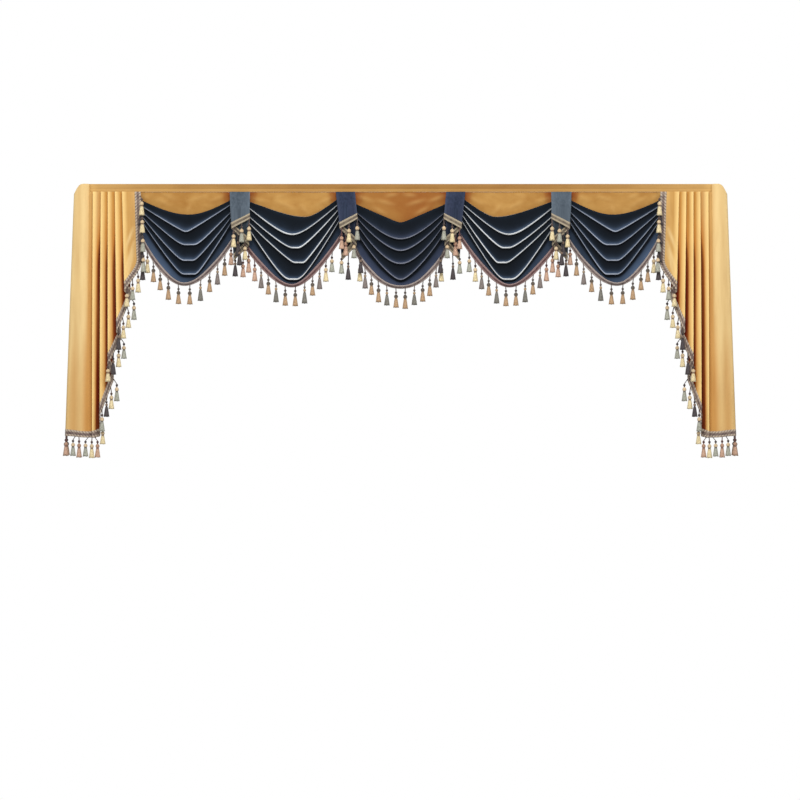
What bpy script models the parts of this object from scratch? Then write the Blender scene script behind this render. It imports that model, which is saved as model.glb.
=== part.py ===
"""Swag valance: gold heading and tails, five dark blue swags, four folded tabs, braid with tassels.

The heading's top edge is at height 0, its middle is at x 0, and the front faces towards -Y.
Lengths are in metres. A drop is a distance below the heading's top edge. The tables give millimetres.
"""
import math
from collections import namedtuple

import bmesh
import bpy
from mathutils import Vector

MM = 0.001

# Heading and backing panel.
HEADING_HALF_WIDTH = 1.402
HEADING_HEIGHT = 0.036
HEADING_THICKNESS = 0.003
HEADING_EDGE_RADIUS = 0.0008
SEAM_GAP = 0.0005
BACKING_HALF_WIDTH = 1.222
BACKING_DROP = 0.234
BACKING_COLUMNS = 24
BACKING_ROWS = 2
CREASE_DEPTH = 0.003
CREASE_PITCH = 18.0
CREASE_SLANT = 2.4

# Cloth and braid.
VELVET_THICKNESS = 0.002
BRAID_THICKNESS = 0.0032
BRAID_GAP = 0.002
STEEP_GAP = 0.005
ROOT_DEPTH = 0.005

# Swags: each fold line falls from both ends to one low point.
SWAG_HALF_COLUMNS = 7
SWAG_END_FORWARD = 0.010
TUCK_DEPTH = 0.017
TUCK_DROP = 0.006
END_TUCK_SHARE = 0.30
BULGE_POWER = 1.3
SWAG_BRAID_WIDTH = 0.021
SWAG_BRAID_TURN = 0.013
UNDER_SHARE = 0.4
SLOPE_STEP = 0.02
STEEPEST_RISE = 1.45
HEM_STEPS = 400

# left and right: drops at the visible ends; low_x and low: the lowest point;
# roundness: small for a pointed fold, large for a round one; forward: how far its middle stands out;
# level: the share of each side that lies level at its lowest point; sag: how much each side hangs in.
Fold = namedtuple("Fold", "left low_x low right roundness forward level sag")
# left and right: the visible ends; tuck: how far both ends run on behind the pieces beside them;
# first and last: where the first and last tassels hang; tassels: how many.
TUCK_GROWTH = 2.0
Swag = namedtuple("Swag", "left right tuck folds first last tassels")

OUTER_SWAG = Swag(-1166, -770, 16, (
    Fold(73, -953, 139, 76, 0.70, 10, 0.0, 0.0),
    Fold(99, -962, 217, 98, 0.06, 38, 0.0, 0.05),
    Fold(124, -941, 277, 135, 0.18, 54, 0.09, 0.0),
    Fold(142, -946, 348, 161, 0.10, 66, 0.09, 0.12),
    Fold(164, -940, 410, 189, 0.12, 74, 0.11, 0.06),
    Fold(258, -966, 461, 295, 1.60, 66, 0.0, 0.0),
), -1135, -762, 11)
INNER_SWAG = Swag(-676, -294, 12, (
    Fold(81, -430, 149, 76, 0.40, 10, 0.0, 0.0),
    Fold(114, -486, 230, 104, 0.35, 38, 0.0, 0.0),
    Fold(152, -470, 291, 133, 0.12, 54, 0.05, 0.14),
    Fold(181, -450, 358, 167, 0.06, 66, 0.09, 0.12),
    Fold(212, -480, 433, 197, 0.24, 74, 0.07, 0.0),
    Fold(322, -486, 468, 292, 0.85, 66, 0.0, 0.0),
), -655, -308, 11)
MIDDLE_SWAG = Swag(-201, 201, 16, (
    Fold(91, 0, 174, 91, 0.07, 10, 0.0, 0.0),
    Fold(127, 0, 250, 127, 0.50, 38, 0.0, 0.0),
    Fold(147, 0, 303, 147, 0.08, 54, 0.0, 0.50),
    Fold(173, 0, 362, 173, 0.10, 66, 0.0, 0.55),
    Fold(211, 0, 434, 211, 0.06, 74, 0.0, 0.40),
    Fold(320, 0, 474, 320, 2.00, 66, 0.0, 0.20),
), -183, 183, 12)

# Tabs: one cloth folded into three layers, front, middle and back, its hem falling from layer to layer.
TAB_TOP_DROP = 0.0365
TAB_LAYER_TOP = (-18, -13, -8)
TAB_LAYER_LOW = (-60, -43, -26)
TAB_SPREAD_DROP = 0.085
TAB_LAYER_COLUMNS = 3
TAB_LAYER_INSET = 4.0
TAB_ROWS = 4
TAB_HEM_DROPS = (161, 206, 280, 348)
TAB_BRAID_RISE = (25, 27, 34, 30)

# left and right at the top; left_low and right_low at the front layer's hem.
Tab = namedtuple("Tab", "left right left_low right_low tassels")
# layer: 0 front, 1 middle, 2 back; x: where it hangs; tip: the drop of its lowest point.
TabTassel = namedtuple("TabTassel", "layer x tip")

OUTER_TAB = Tab(-770, -677, -758, -674, (
    TabTassel(0, -678, 256),
    TabTassel(0, -711, 266),
    TabTassel(0, -747, 292),
    TabTassel(1, -732, 322),
    TabTassel(1, -697, 345),
    TabTassel(1, -720, 371),
    TabTassel(2, -680, 396),
    TabTassel(2, -705, 424),
    TabTassel(2, -742, 416),
))
INNER_TAB = Tab(-293, -205, -273, -192, (
    TabTassel(0, -194, 254),
    TabTassel(0, -231, 266),
    TabTassel(0, -264, 300),
    TabTassel(1, -246, 322),
    TabTassel(1, -209, 338),
    TabTassel(2, -204, 405),
    TabTassel(2, -235, 428),
    TabTassel(2, -266, 408),
))

# Tails, from the inner edge outwards. Each row is one turn of the pleated cloth.
# x_top, x_low: at the heading and at the hem; y_top, y_low: the same for its depth;
# hem: the drop of the braid's outer edge; rise: the braid's height there.
Turn = namedtuple("Turn", "x_top x_low y_top y_low hem rise")
INNER_EDGE = Turn(-1197, -1196, -22, -42, 387, 38)
# The pleats: a fold at the front and a fold at the back by turns.
PLEAT_TURNS = (
    Turn(-1251, -1239, -24, -46, 473, 42),
    Turn(-1227, -1212, -6, -20, 520, 50),
    Turn(-1283, -1273, -23, -43, 666, 58),
    Turn(-1265, -1257, -6, -18, 702, 56),
    Turn(-1315, -1312, -23, -42, 812, 52),
    Turn(-1295, -1289, -6, -18, 886, 56),
    Turn(-1347, -1354, -23, -41, 1040, 56),
    Turn(-1330, -1347, -6, -17, 1098, 46),
    Turn(-1382, -1373, -22, -40, 1141, 30),
    Turn(-1367, -1360, -6, -17, 1141, 28),
)
PLEAT_END = Turn(-1399, -1407, -13, -29, 1140, 27)
# The plain outer part, up to the heading's top, and the return that wraps back to the wall.
OUTER_TURNS = (
    Turn(-1404, -1415, -14, -31, 1140, 27),
    Turn(-1424, -1440, -18, -34, 1138, 27),
    Turn(-1446, -1470, -14, -24, 1135, 28),
    Turn(-1468, -1501, -7, -16, 1133, 29),
    Turn(-1470, -1510, 2, -8, 1133, 29),
    Turn(-1470, -1512, 50, 48, 1133, 29),
    Turn(-1470, -1512, 100, 100, 1133, 29),
)
FOLD_NOSE = 0.005
NOSE_X = 0.6
NOSE_Y = 0.8
TAIL_ROWS = 8
PLEAT_TOP_DROP = 0.0365
PLEAT_SPREAD_DROP = 0.75
PLEAT_START_SHARE = 0.25
OUTER_TOP_DROPS = (0, 0, 2, 46, 48, 48, 48)
TAIL_BRAID_WIDTH = 0.023
EDGE_BRAID_ROWS = 7
CORNER_DROP = 0.012
CORNER_STEP = 0.0006
EDGE_FIRST_DROP = 0.056
EDGE_PITCH = 0.042
EDGE_TASSELS = 8
EDGE_LANES = ((0.020, -0.002), (0.004, -0.019))
EDGE_FORWARD = -0.042
STEP_DROPS = (400, 436, 470, 520, 562, 610, 656, 702, 735, 768, 806, 886, 924, 962, 1020, 1084)
STEP_LEAN = (0.014, -0.008, 0.0)
BOTTOM_COLUMNS = 14
RETURN_COLUMNS = 3
HEM_TASSEL_X = (-1361, -1375, -1397, -1442, -1458, -1503)
RETURN_TASSEL_Y = (30, 75)

# One tassel: string, bead, neck, head and skirt, with radii and depths from the bead's top down.
TASSEL_SIDES = 4
STRING_RADIUS = 1.2
SAME_HEIGHT = 0.00001
TASSEL_PROFILE = ((6.0, 6.0), (2.2, 14.0), (9.0, 27.0), (12.2, 74.0))
BODY_LENGTH = 0.074
STRING_LENGTH = 0.014
LENGTH_CHANGE = 0.004
CHANGE_PITCH = 2.3
CHANGE_START = 0.7
TASSEL_CLEARANCE = 0.002
SHIFT_STEP = 0.003
SHIFT_DIRECTIONS = ((0.0, -1.0), (0.7, -0.7), (-0.7, -0.7), (1.0, 0.0))
SHIFT_TRIES = 14
CLEAR_STEPS = 24

GOLD = (0.66, 0.40, 0.13)
NAVY = (0.012, 0.020, 0.040)
SLATE = (0.060, 0.090, 0.130)
BRAID_BROWN = (0.20, 0.15, 0.13)
BRAID_TAN = (0.34, 0.28, 0.20)
CLOTH_ROUGHNESS = 0.85


def clear_scene():
    """Take away whatever the file opened with."""
    for obj in list(bpy.data.objects):
        bpy.data.objects.remove(obj, do_unlink=True)


def new_collection(name):
    """A collection linked to the scene."""
    collection = bpy.data.collections.new(name)
    bpy.context.scene.collection.children.link(collection)
    return collection


def finish_material(name, colour):
    """A plain cloth or braid finish."""
    material = bpy.data.materials.new(name)
    material.use_nodes = True
    shader = material.node_tree.nodes["Principled BSDF"]
    shader.inputs["Base Color"].default_value = (*colour, 1.0)
    shader.inputs["Roughness"].default_value = CLOTH_ROUGHNESS
    shader.inputs["Metallic"].default_value = 0.0
    material.diffuse_color = (*colour, 1.0)
    return material


def add_object(name, bm, collection, colour):
    """Turn a finished bmesh into a named object with its own material."""
    mesh = bpy.data.meshes.new(name)
    bm.to_mesh(mesh)
    bm.free()
    mesh.materials.append(finish_material(name + "_finish", colour))
    obj = bpy.data.objects.new(name, mesh)
    collection.objects.link(obj)
    return obj


def add_sheet(name, columns, rows, place, thickness, colour):
    """A cloth: a flat grid whose points go where place(column, row) says, then thickened."""
    bm = bmesh.new()
    bmesh.ops.create_grid(bm, x_segments=columns, y_segments=rows, size=0.5)
    for vert in bm.verts:
        column = round((vert.co.x + 0.5) * columns)
        row = round((0.5 - vert.co.y) * rows)
        vert.co = place(column, row)
    bmesh.ops.triangulate(bm, faces=bm.faces)
    obj = add_object(name, bm, parts, colour)
    thicken = obj.modifiers.new("Thickness", "SOLIDIFY")
    thicken.thickness = thickness
    thicken.offset = 0.0
    return obj


def blend(low, high, share):
    """The value that lies a share of the way from low to high."""
    return low + (high - low) * share


def smooth_step(value):
    """0 to 1 with soft ends."""
    value = min(max(value, 0.0), 1.0)
    return value * value * (3.0 - 2.0 * value)


def mirrored(point, side):
    """The point on its own side of the middle: side 1 keeps it left, -1 puts it right."""
    return Vector((point.x * side, point.y, point.z))


def tassel_shape(bm, root, hang, string, change):
    """One tassel: its string leaves the root, and its body hangs straight below the hang point."""
    top = hang.z - string
    stretch = 1.0 + change / BODY_LENGTH
    rings = [(STRING_RADIUS, 0.0)]
    rings += [(radius, depth * stretch) for radius, depth in TASSEL_PROFILE]
    profile = [bm.verts.new((STRING_RADIUS * MM, 0.0, root.z))]
    for radius, depth in rings:
        profile.append(bm.verts.new((radius * MM, 0.0, top - depth * MM)))
    edges = [bm.edges.new(pair) for pair in zip(profile, profile[1:])]
    bmesh.ops.spin(bm, geom=profile + edges, cent=(0.0, 0.0, 0.0), axis=(0.0, 0.0, 1.0),
                   dvec=(0.0, 0.0, 0.0), angle=math.tau, steps=TASSEL_SIDES,
                   use_merge=True, use_duplicate=False)
    loose = [vert for vert in bm.verts if not vert.tag]
    for vert in loose:
        at_root = abs(vert.co.z - root.z) < SAME_HEIGHT
        centre = root if at_root else hang
        vert.co.x += centre.x
        vert.co.y += centre.y
        vert.tag = True


def add_tassels(name, tassels):
    """All the tassels of one braid, as closed shapes that the braid is joined to."""
    bm = bmesh.new()
    for root, hang, string, change in tassels:
        tassel_shape(bm, root, hang, string, change)
    bmesh.ops.holes_fill(bm, edges=[edge for edge in bm.edges if edge.is_boundary], sides=TASSEL_SIDES)
    bmesh.ops.recalc_face_normals(bm, faces=bm.faces)
    obj = add_object(name, bm, cutters, BRAID_TAN)
    obj.hide_render = True
    obj.display_type = "WIRE"
    return obj


def add_braid(name, layout, side, colour):
    """A narrow braid between pairs of inner and outer edge points, with its tassels joined on."""
    pairs = [(mirrored(inner, side), mirrored(outer, side)) for inner, outer in layout[0]]
    tassels = [(mirrored(root, side), mirrored(hang, side), string, change)
               for root, hang, string, change in layout[1]]
    obj = add_sheet(name, len(pairs) - 1, 1, lambda column, row: pairs[column][row],
                    BRAID_THICKNESS, colour)
    join = obj.modifiers.new("Tassels", "BOOLEAN")
    join.operation = "UNION"
    join.solver = "EXACT"
    join.object = add_tassels(name + "_tassels", tassels)
    return obj


def into_braid(inner, outer):
    """A tassel's root, a little inside the braid's outer edge."""
    return outer + (inner - outer).normalized() * ROOT_DEPTH


def length_change(index):
    """Small unevenness from tassel to tassel, in metres."""
    return LENGTH_CHANGE * math.sin(CHANGE_PITCH * index + CHANGE_START)


def radius_at(depth):
    """A tassel body's radius at a depth below its bead's top, in metres."""
    before = (STRING_RADIUS, 0.0)
    for after in TASSEL_PROFILE:
        if before[1] <= depth / MM <= after[1]:
            share = (depth / MM - before[1]) / (after[1] - before[1])
            return blend(before[0], after[0], share) * MM
        before = after
    return 0.0


def stands_clear(body, other):
    """Whether two hanging bodies, each given by its bead's top, keep apart at every height."""
    apart = math.hypot(body.x - other.x, body.y - other.y)
    for step in range(CLEAR_STEPS + 1):
        depth = (BODY_LENGTH + LENGTH_CHANGE) * step / CLEAR_STEPS
        reach = radius_at(depth)
        reach_other = radius_at(depth + other.z - body.z)
        if reach > 0.0 and reach_other > 0.0 and apart < reach + reach_other + TASSEL_CLEARANCE:
            return False
    return True


def hang_clear(hang, string):
    """The wanted place of a tassel, moved a little until it stands clear of those hung before."""
    top = hang - Vector((0.0, 0.0, string))
    for step in range(SHIFT_TRIES):
        for along_x, along_y in SHIFT_DIRECTIONS:
            shift = Vector((along_x, along_y, 0.0)) * SHIFT_STEP * step
            if all(stands_clear(top + shift, other) for other in hung):
                hung.append(top + shift)
                return hang + shift
    hung.append(top)
    return hang


def add_heading():
    """The plain gold strip along the top."""
    bm = bmesh.new()
    bmesh.ops.create_cube(bm, size=1.0)
    bmesh.ops.scale(bm, verts=bm.verts,
                    vec=(2.0 * HEADING_HALF_WIDTH, HEADING_THICKNESS, HEADING_HEIGHT))
    bmesh.ops.translate(bm, verts=bm.verts, vec=(0.0, 0.0, -HEADING_HEIGHT / 2.0))
    obj = add_object("heading", bm, parts, GOLD)
    bevel = obj.modifiers.new("Soft edges", "BEVEL")
    bevel.width = HEADING_EDGE_RADIUS
    bevel.segments = 1


def add_backing():
    """The flat gold cloth behind the swags, with soft slanting creases."""
    def place(column, row):
        across = column / BACKING_COLUMNS
        down = row / BACKING_ROWS
        x = blend(-BACKING_HALF_WIDTH, BACKING_HALF_WIDTH, across)
        slant = abs(x) * CREASE_PITCH + down * CREASE_SLANT
        y = CREASE_DEPTH * down * (0.5 + 0.5 * math.sin(slant))
        z = -blend(HEADING_HEIGHT + SEAM_GAP, BACKING_DROP, down)
        return Vector((x, y, z))

    add_sheet("backing_panel", BACKING_COLUMNS, BACKING_ROWS, place, VELVET_THICKNESS, GOLD)


def fold_drop(swag, fold, x):
    """The drop of a fold line at x, all in millimetres."""
    if x < fold.low_x:
        share = (fold.low_x - x) / (fold.low_x - swag.left)
        end = fold.left
    else:
        share = (x - fold.low_x) / (swag.right - fold.low_x)
        end = fold.right
    share = max(share - fold.level, 0.0) / (1.0 - fold.level)
    share *= blend(1.0, share, fold.sag)
    rounded = math.hypot(share, fold.roundness) - fold.roundness
    full = math.hypot(1.0, fold.roundness) - fold.roundness
    return end + (fold.low - end) * (1.0 - rounded / full)


def fold_point(swag, fold, across):
    """A point on a fold line: across runs from -1 at the left end to 1 at the right end."""
    tuck = swag.tuck + TUCK_GROWTH * swag.folds.index(fold)
    end = swag.right + tuck if across > 0.0 else swag.left - tuck
    x = blend(fold.low_x, end, abs(across))
    middle = (1.0 - across * across) ** BULGE_POWER
    y = -SWAG_END_FORWARD - fold.forward * MM * middle
    return Vector((x * MM, y, -fold_drop(swag, fold, x) * MM))


def swag_braid_edges(swag, across):
    """The braid's inner and outer edge points: it turns under at the swag's lowest part."""
    hem = swag.folds[-1]
    outer = fold_point(swag, hem, across)
    beside = fold_point(swag, hem, across + (SLOPE_STEP if across < 0.0 else -SLOPE_STEP))
    slope = abs(beside.z - outer.z) / abs(beside.x - outer.x)
    under = 1.0 - smooth_step(slope)
    rise = min(math.hypot(1.0, slope), STEEPEST_RISE)
    seen = SWAG_BRAID_WIDTH * (1.0 - UNDER_SHARE * under) * rise
    inner = outer + Vector((0.0, 0.0, seen))
    outer.y += SWAG_BRAID_TURN * under
    return inner, outer


def add_swag(name, swag, side, colour):
    """One swag: from each fold's crest the cloth tucks in, then comes out again to the next crest."""
    crests = swag.folds[:-1]
    rows = [(crests[0], False)]
    for fold in crests[1:]:
        rows += [(fold, False), (fold, True)]

    def place(column, row):
        across = column / SWAG_HALF_COLUMNS - 1.0
        if row == len(rows):
            inner, outer = swag_braid_edges(swag, across)
            return mirrored(inner + (inner - outer).normalized() * BRAID_GAP, side)
        fold, tucked = rows[row]
        point = fold_point(swag, fold, across)
        if tucked:
            middle = (1.0 - across * across) ** BULGE_POWER
            share = blend(END_TUCK_SHARE, 1.0, middle)
            point.y += TUCK_DEPTH * share
            point.z -= TUCK_DROP
        return mirrored(point, side)

    add_sheet(name, 2 * SWAG_HALF_COLUMNS, len(rows), place, VELVET_THICKNESS, colour)


def spaced_along_hem(swag):
    """The x of each tassel, an equal way apart along the hem."""
    hem = swag.folds[-1]
    shares = [2.0 * index / HEM_STEPS - 1.0 for index in range(HEM_STEPS + 1)]
    points = [fold_point(swag, hem, share) for share in shares]
    ways = [0.0]
    for before, after in zip(points, points[1:]):
        ways.append(ways[-1] + math.hypot(after.x - before.x, after.z - before.z))
    start = min(range(HEM_STEPS + 1), key=lambda index: abs(points[index].x - swag.first * MM))
    stop = min(range(HEM_STEPS + 1), key=lambda index: abs(points[index].x - swag.last * MM))
    chosen = []
    for index in range(swag.tassels):
        way = blend(ways[start], ways[stop], index / (swag.tassels - 1))
        nearest = min(range(HEM_STEPS + 1), key=lambda step: abs(ways[step] - way))
        chosen.append(points[nearest].x)
    return chosen


def swag_braid_layout(swag):
    """The braid along a swag's hem, and its row of tassels."""
    pairs = []
    for column in range(2 * SWAG_HALF_COLUMNS + 1):
        pairs.append(swag_braid_edges(swag, column / SWAG_HALF_COLUMNS - 1.0))
    tassels = []
    for index, x in enumerate(spaced_along_hem(swag)):
        inner, outer = point_at(pairs, lambda point: point.x, x)
        hang = hang_clear(outer, STRING_LENGTH)
        tassels.append((into_braid(inner, outer), hang, STRING_LENGTH, length_change(index)))
    return pairs, tassels


def tab_column(tab, layer, share):
    """A tab column's top and low x and depth: share runs along the layer from where it starts."""
    leftwards = layer != 1
    along = share if leftwards else 1.0 - share
    x_top = blend(tab.right, tab.left, along)
    x_low = blend(tab.right_low, tab.left_low, along)
    inset = TAB_LAYER_INSET * layer
    x_top += blend(-inset, inset, along)
    x_low += blend(-inset, inset, along)
    return x_top, x_low, TAB_LAYER_TOP[layer], TAB_LAYER_LOW[layer]


def tab_columns(tab):
    """All columns of a tab, each with its share of the whole hem, and the folds between layers."""
    columns = []
    for layer in range(len(TAB_LAYER_TOP)):
        for step in range(TAB_LAYER_COLUMNS + 1):
            share = step / TAB_LAYER_COLUMNS
            x_top, x_low, y_top, y_low = tab_column(tab, layer, share)
            hem = blend(TAB_HEM_DROPS[layer], TAB_HEM_DROPS[layer + 1], share)
            rise = blend(TAB_BRAID_RISE[layer], TAB_BRAID_RISE[layer + 1], share)
            columns.append((x_top, x_low, y_top, y_low, hem, rise))
    return columns


def tab_point(column, drop):
    """A point of a tab's column at a drop in metres."""
    x_top, x_low, y_top, y_low, hem, rise = column
    fall = (drop - TAB_TOP_DROP) / (hem * MM - TAB_TOP_DROP)
    spread = smooth_step((drop - TAB_TOP_DROP) / TAB_SPREAD_DROP)
    return Vector((blend(x_top, x_low, fall) * MM, blend(y_top, y_low, spread) * MM, -drop))


def add_tab(name, tab, side, colour):
    """One tab: a cloth folded back and forth in three layers."""
    columns = tab_columns(tab)

    def place(index, row):
        column = columns[index]
        low = (column[4] - column[5]) * MM - BRAID_GAP
        drop = blend(TAB_TOP_DROP, low, row / TAB_ROWS)
        return mirrored(tab_point(column, drop), side)

    add_sheet(name, len(columns) - 1, TAB_ROWS, place, VELVET_THICKNESS, colour)


def tab_braid_layout(tab):
    """The braid round a tab's falling hem, and the tassels of each layer."""
    columns = tab_columns(tab)
    pairs = []
    for column in columns:
        inner = tab_point(column, (column[4] - column[5]) * MM)
        outer = tab_point(column, column[4] * MM)
        pairs.append((inner, outer))
    tassels = []
    for index, tassel in enumerate(tab.tassels):
        first = tassel.layer * (TAB_LAYER_COLUMNS + 1)
        layer = pairs[first:first + TAB_LAYER_COLUMNS + 1]
        inner, outer = point_at(layer, lambda point: point.x, tassel.x * MM)
        string = tassel.tip * MM + outer.z - BODY_LENGTH
        hang = hang_clear(outer, string)
        tassels.append((into_braid(inner, outer), hang, string, length_change(index)))
    return pairs, tassels


def point_at(pairs, measure, value):
    """The braid's edge points where its outer edge first has the wanted measure."""
    for before, after in zip(pairs, pairs[1:]):
        low = measure(before[1])
        high = measure(after[1])
        if low != high and min(low, high) <= value <= max(low, high):
            share = (value - low) / (high - low)
            return before[0].lerp(after[0], share), before[1].lerp(after[1], share)
    ends = (pairs[0], pairs[-1])
    return min(ends, key=lambda pair: abs(measure(pair[1]) - value))


def nose_columns(turn):
    """The two columns of a fold's blunt nose, in the order in which the cloth runs."""
    half = FOLD_NOSE / MM / 2.0
    first = turn._replace(x_top=turn.x_top + NOSE_X * half, x_low=turn.x_low + NOSE_X * half,
                          y_top=turn.y_top - NOSE_Y * half, y_low=turn.y_low - NOSE_Y * half)
    second = turn._replace(x_top=turn.x_top - NOSE_X * half, x_low=turn.x_low - NOSE_X * half,
                           y_top=turn.y_top + NOSE_Y * half, y_low=turn.y_low + NOSE_Y * half)
    return [first, second]


def between(first, second):
    """A column halfway along a run of the cloth."""
    halves = [(one + other) / 2.0 for one, other in zip(first, second)]
    return Turn(*halves)


def tail_columns():
    """All columns of a tail with the drop of their tops: two at each fold, one halfway along a run."""
    columns = [INNER_EDGE]
    for turn in PLEAT_TURNS:
        nose = nose_columns(turn)
        columns += [between(columns[-1], nose[0])] + nose
    columns.append(PLEAT_END)
    pleats = [(column, PLEAT_TOP_DROP) for column in columns]
    return pleats + [(turn, top * MM) for turn, top in zip(OUTER_TURNS, OUTER_TOP_DROPS)]


def tail_point(column, drop):
    """A point of a tail's column at a drop in metres."""
    turn, top = column
    fall = (drop - top) / (turn.hem * MM - top)
    opened = (drop - PLEAT_TOP_DROP) / PLEAT_SPREAD_DROP
    spread = smooth_step(blend(PLEAT_START_SHARE, 1.0, opened))
    start = smooth_step(PLEAT_START_SHARE)
    depth = max(0.0, (spread - start) / (1.0 - start))
    x = blend(turn.x_top, turn.x_low, fall)
    y = blend(turn.y_top, turn.y_low, depth)
    return Vector((x * MM, y * MM, -drop))


def add_tail(name, side):
    """One tail: knife pleats with a stepped inner hem, a plain outer part and the return."""
    columns = tail_columns()

    def place(index, row):
        turn, top = columns[index]
        low = (turn.hem - turn.rise) * MM - STEEP_GAP
        drop = blend(top, low, row / TAIL_ROWS)
        return mirrored(tail_point(columns[index], drop), side)

    add_sheet(name, len(columns) - 1, TAIL_ROWS, place, VELVET_THICKNESS, GOLD)


def tail_braid_layout():
    """The braid down a tail's inner edge and round its stepped hem, and all its tassels."""
    columns = tail_columns()
    edge = columns[0]
    turn = edge[0]
    corner_inner = tail_point(edge, (turn.hem - turn.rise) * MM)
    pairs = []
    for row in range(EDGE_BRAID_ROWS):
        drop = blend(PLEAT_TOP_DROP, -corner_inner.z, row / EDGE_BRAID_ROWS)
        inner = tail_point(edge, drop)
        inner.x += BRAID_GAP
        pairs.append((inner, inner + Vector((TAIL_BRAID_WIDTH, 0.0, 0.0))))
    corner_outer = corner_inner + Vector((TAIL_BRAID_WIDTH + BRAID_GAP, 0.0, -CORNER_DROP))
    pairs.append((corner_inner + Vector((BRAID_GAP, 0.0, -CORNER_STEP)), corner_outer))
    for column in columns[1:]:
        hem = column[0].hem * MM
        rise = column[0].rise * MM
        pairs.append((tail_point(column, hem - rise), tail_point(column, hem)))
    tassels = []
    for index in range(EDGE_TASSELS):
        drop = EDGE_FIRST_DROP + EDGE_PITCH * index
        inner, outer = point_at(pairs, lambda point: -point.z, drop)
        lean = EDGE_LANES[index % len(EDGE_LANES)]
        hang = outer + Vector((lean[0], 0.0, 0.0))
        hang.y = min(outer.y, EDGE_FORWARD) + lean[1]
        hung.append(hang - Vector((0.0, 0.0, STRING_LENGTH)))
        tassels.append((into_braid(inner, outer), hang, STRING_LENGTH, length_change(index)))
    for index, drop in enumerate(STEP_DROPS):
        inner, outer = point_at(pairs, lambda point: -point.z, drop * MM)
        hang = hang_clear(outer + Vector(STEP_LEAN), STRING_LENGTH)
        tassels.append((into_braid(inner, outer), hang, STRING_LENGTH, length_change(index)))
    outer_pairs = pairs[-BOTTOM_COLUMNS:]
    for index, x in enumerate(HEM_TASSEL_X):
        inner, outer = point_at(outer_pairs, lambda point: point.x, x * MM)
        hang = hang_clear(outer, STRING_LENGTH)
        tassels.append((into_braid(inner, outer), hang, STRING_LENGTH, length_change(index)))
    for index, y in enumerate(RETURN_TASSEL_Y):
        inner, outer = point_at(pairs[-RETURN_COLUMNS:], lambda point: point.y, y * MM)
        tassels.append((into_braid(inner, outer), outer, STRING_LENGTH, length_change(index)))
    return pairs, tassels


clear_scene()
parts = new_collection("swag_valance")
cutters = new_collection("joined_shapes")
hung = []
add_heading()
add_backing()
SWAGS = (
    ("swag_1", OUTER_SWAG, 1),
    ("swag_2", INNER_SWAG, 1),
    ("swag_3", MIDDLE_SWAG, 1),
    ("swag_4", INNER_SWAG, -1),
    ("swag_5", OUTER_SWAG, -1),
)
TABS = (
    ("tab_1", OUTER_TAB, 1, SLATE),
    ("tab_2", INNER_TAB, 1, NAVY),
    ("tab_3", INNER_TAB, -1, NAVY),
    ("tab_4", OUTER_TAB, -1, SLATE),
)
TAILS = (("tail_left", 1), ("tail_right", -1))
swag_braids = {swag: swag_braid_layout(swag) for swag in (OUTER_SWAG, INNER_SWAG, MIDDLE_SWAG)}
tab_braids = {tab: tab_braid_layout(tab) for tab in (OUTER_TAB, INNER_TAB)}
tail_braid = tail_braid_layout()
for name, swag, side in SWAGS:
    add_swag(name, swag, side, NAVY)
    add_braid(name + "_braid", swag_braids[swag], side, BRAID_BROWN)
for name, tab, side, colour in TABS:
    add_tab(name, tab, side, colour)
    add_braid(name + "_braid", tab_braids[tab], side, BRAID_TAN)
for name, side in TAILS:
    add_tail(name, side)
    add_braid(name + "_braid", tail_braid, side, BRAID_BROWN)
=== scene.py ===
import math

import bmesh
import bpy
import numpy as np
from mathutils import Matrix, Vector, noise


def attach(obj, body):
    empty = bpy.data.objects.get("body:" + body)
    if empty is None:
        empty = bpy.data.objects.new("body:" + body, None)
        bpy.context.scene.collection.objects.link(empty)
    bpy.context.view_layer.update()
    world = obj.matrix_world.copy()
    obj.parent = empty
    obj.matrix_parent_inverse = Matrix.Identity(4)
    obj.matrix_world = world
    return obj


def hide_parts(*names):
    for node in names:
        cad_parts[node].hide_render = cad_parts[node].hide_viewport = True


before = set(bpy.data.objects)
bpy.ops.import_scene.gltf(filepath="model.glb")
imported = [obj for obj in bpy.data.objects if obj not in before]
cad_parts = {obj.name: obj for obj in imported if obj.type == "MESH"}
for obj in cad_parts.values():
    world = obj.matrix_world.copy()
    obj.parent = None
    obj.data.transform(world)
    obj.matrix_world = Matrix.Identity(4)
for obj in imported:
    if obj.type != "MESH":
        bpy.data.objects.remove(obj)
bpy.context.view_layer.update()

# Room: a pale floor below the hanging valance, white all round, and wide soft lamps at the front.
# The eye stands about a metre below the heading and ten metres in front of it.
FLOOR_DROP = 3.0
FLOOR_WIDTH = 5.0
FLOOR_DEPTH = 3.2
FLOOR_MIDDLE_Y = -0.5
PALE_FLOOR = (0.80, 0.79, 0.77)
BRIGHT_FLOOR = (0.83, 0.82, 0.80)
FLOOR_CLOUDS = 3.0
FLOOR_CLOUD_REACH = (0.3, 0.7)
FLOOR_ROUGHNESS = 0.9
SOFT_FILL = 0.38
# Each lamp's name, place, width and power, and then the point that all of them are turned to.
LAMPS = (
    ("front_lamp", (0.0, -4.5, 2.2), 3.0, 215.0),
    ("left_lamp", (-4.2, -4.0, 0.2), 2.0, 48.0),
    ("right_lamp", (4.2, -4.0, 0.2), 2.0, 48.0),
)
LAMP_AIM = (0.0, 0.0, -0.5)
EYE = (-0.0027, -10.0, -0.972)
LENS = 100.0
FILM_WIDTH = 36.0
FARTHEST_SEEN = 60.0
# A colour mix's sockets by number: its share, its two colours and its result.
MIX_SHARE, MIX_FIRST, MIX_SECOND, MIX_RESULT = 0, 6, 7, 2


def new_finish(name):
    """A new material with its nodes and its shader."""
    material = bpy.data.materials.new(name)
    material.use_nodes = True
    return material, material.node_tree, material.node_tree.nodes["Principled BSDF"]


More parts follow.
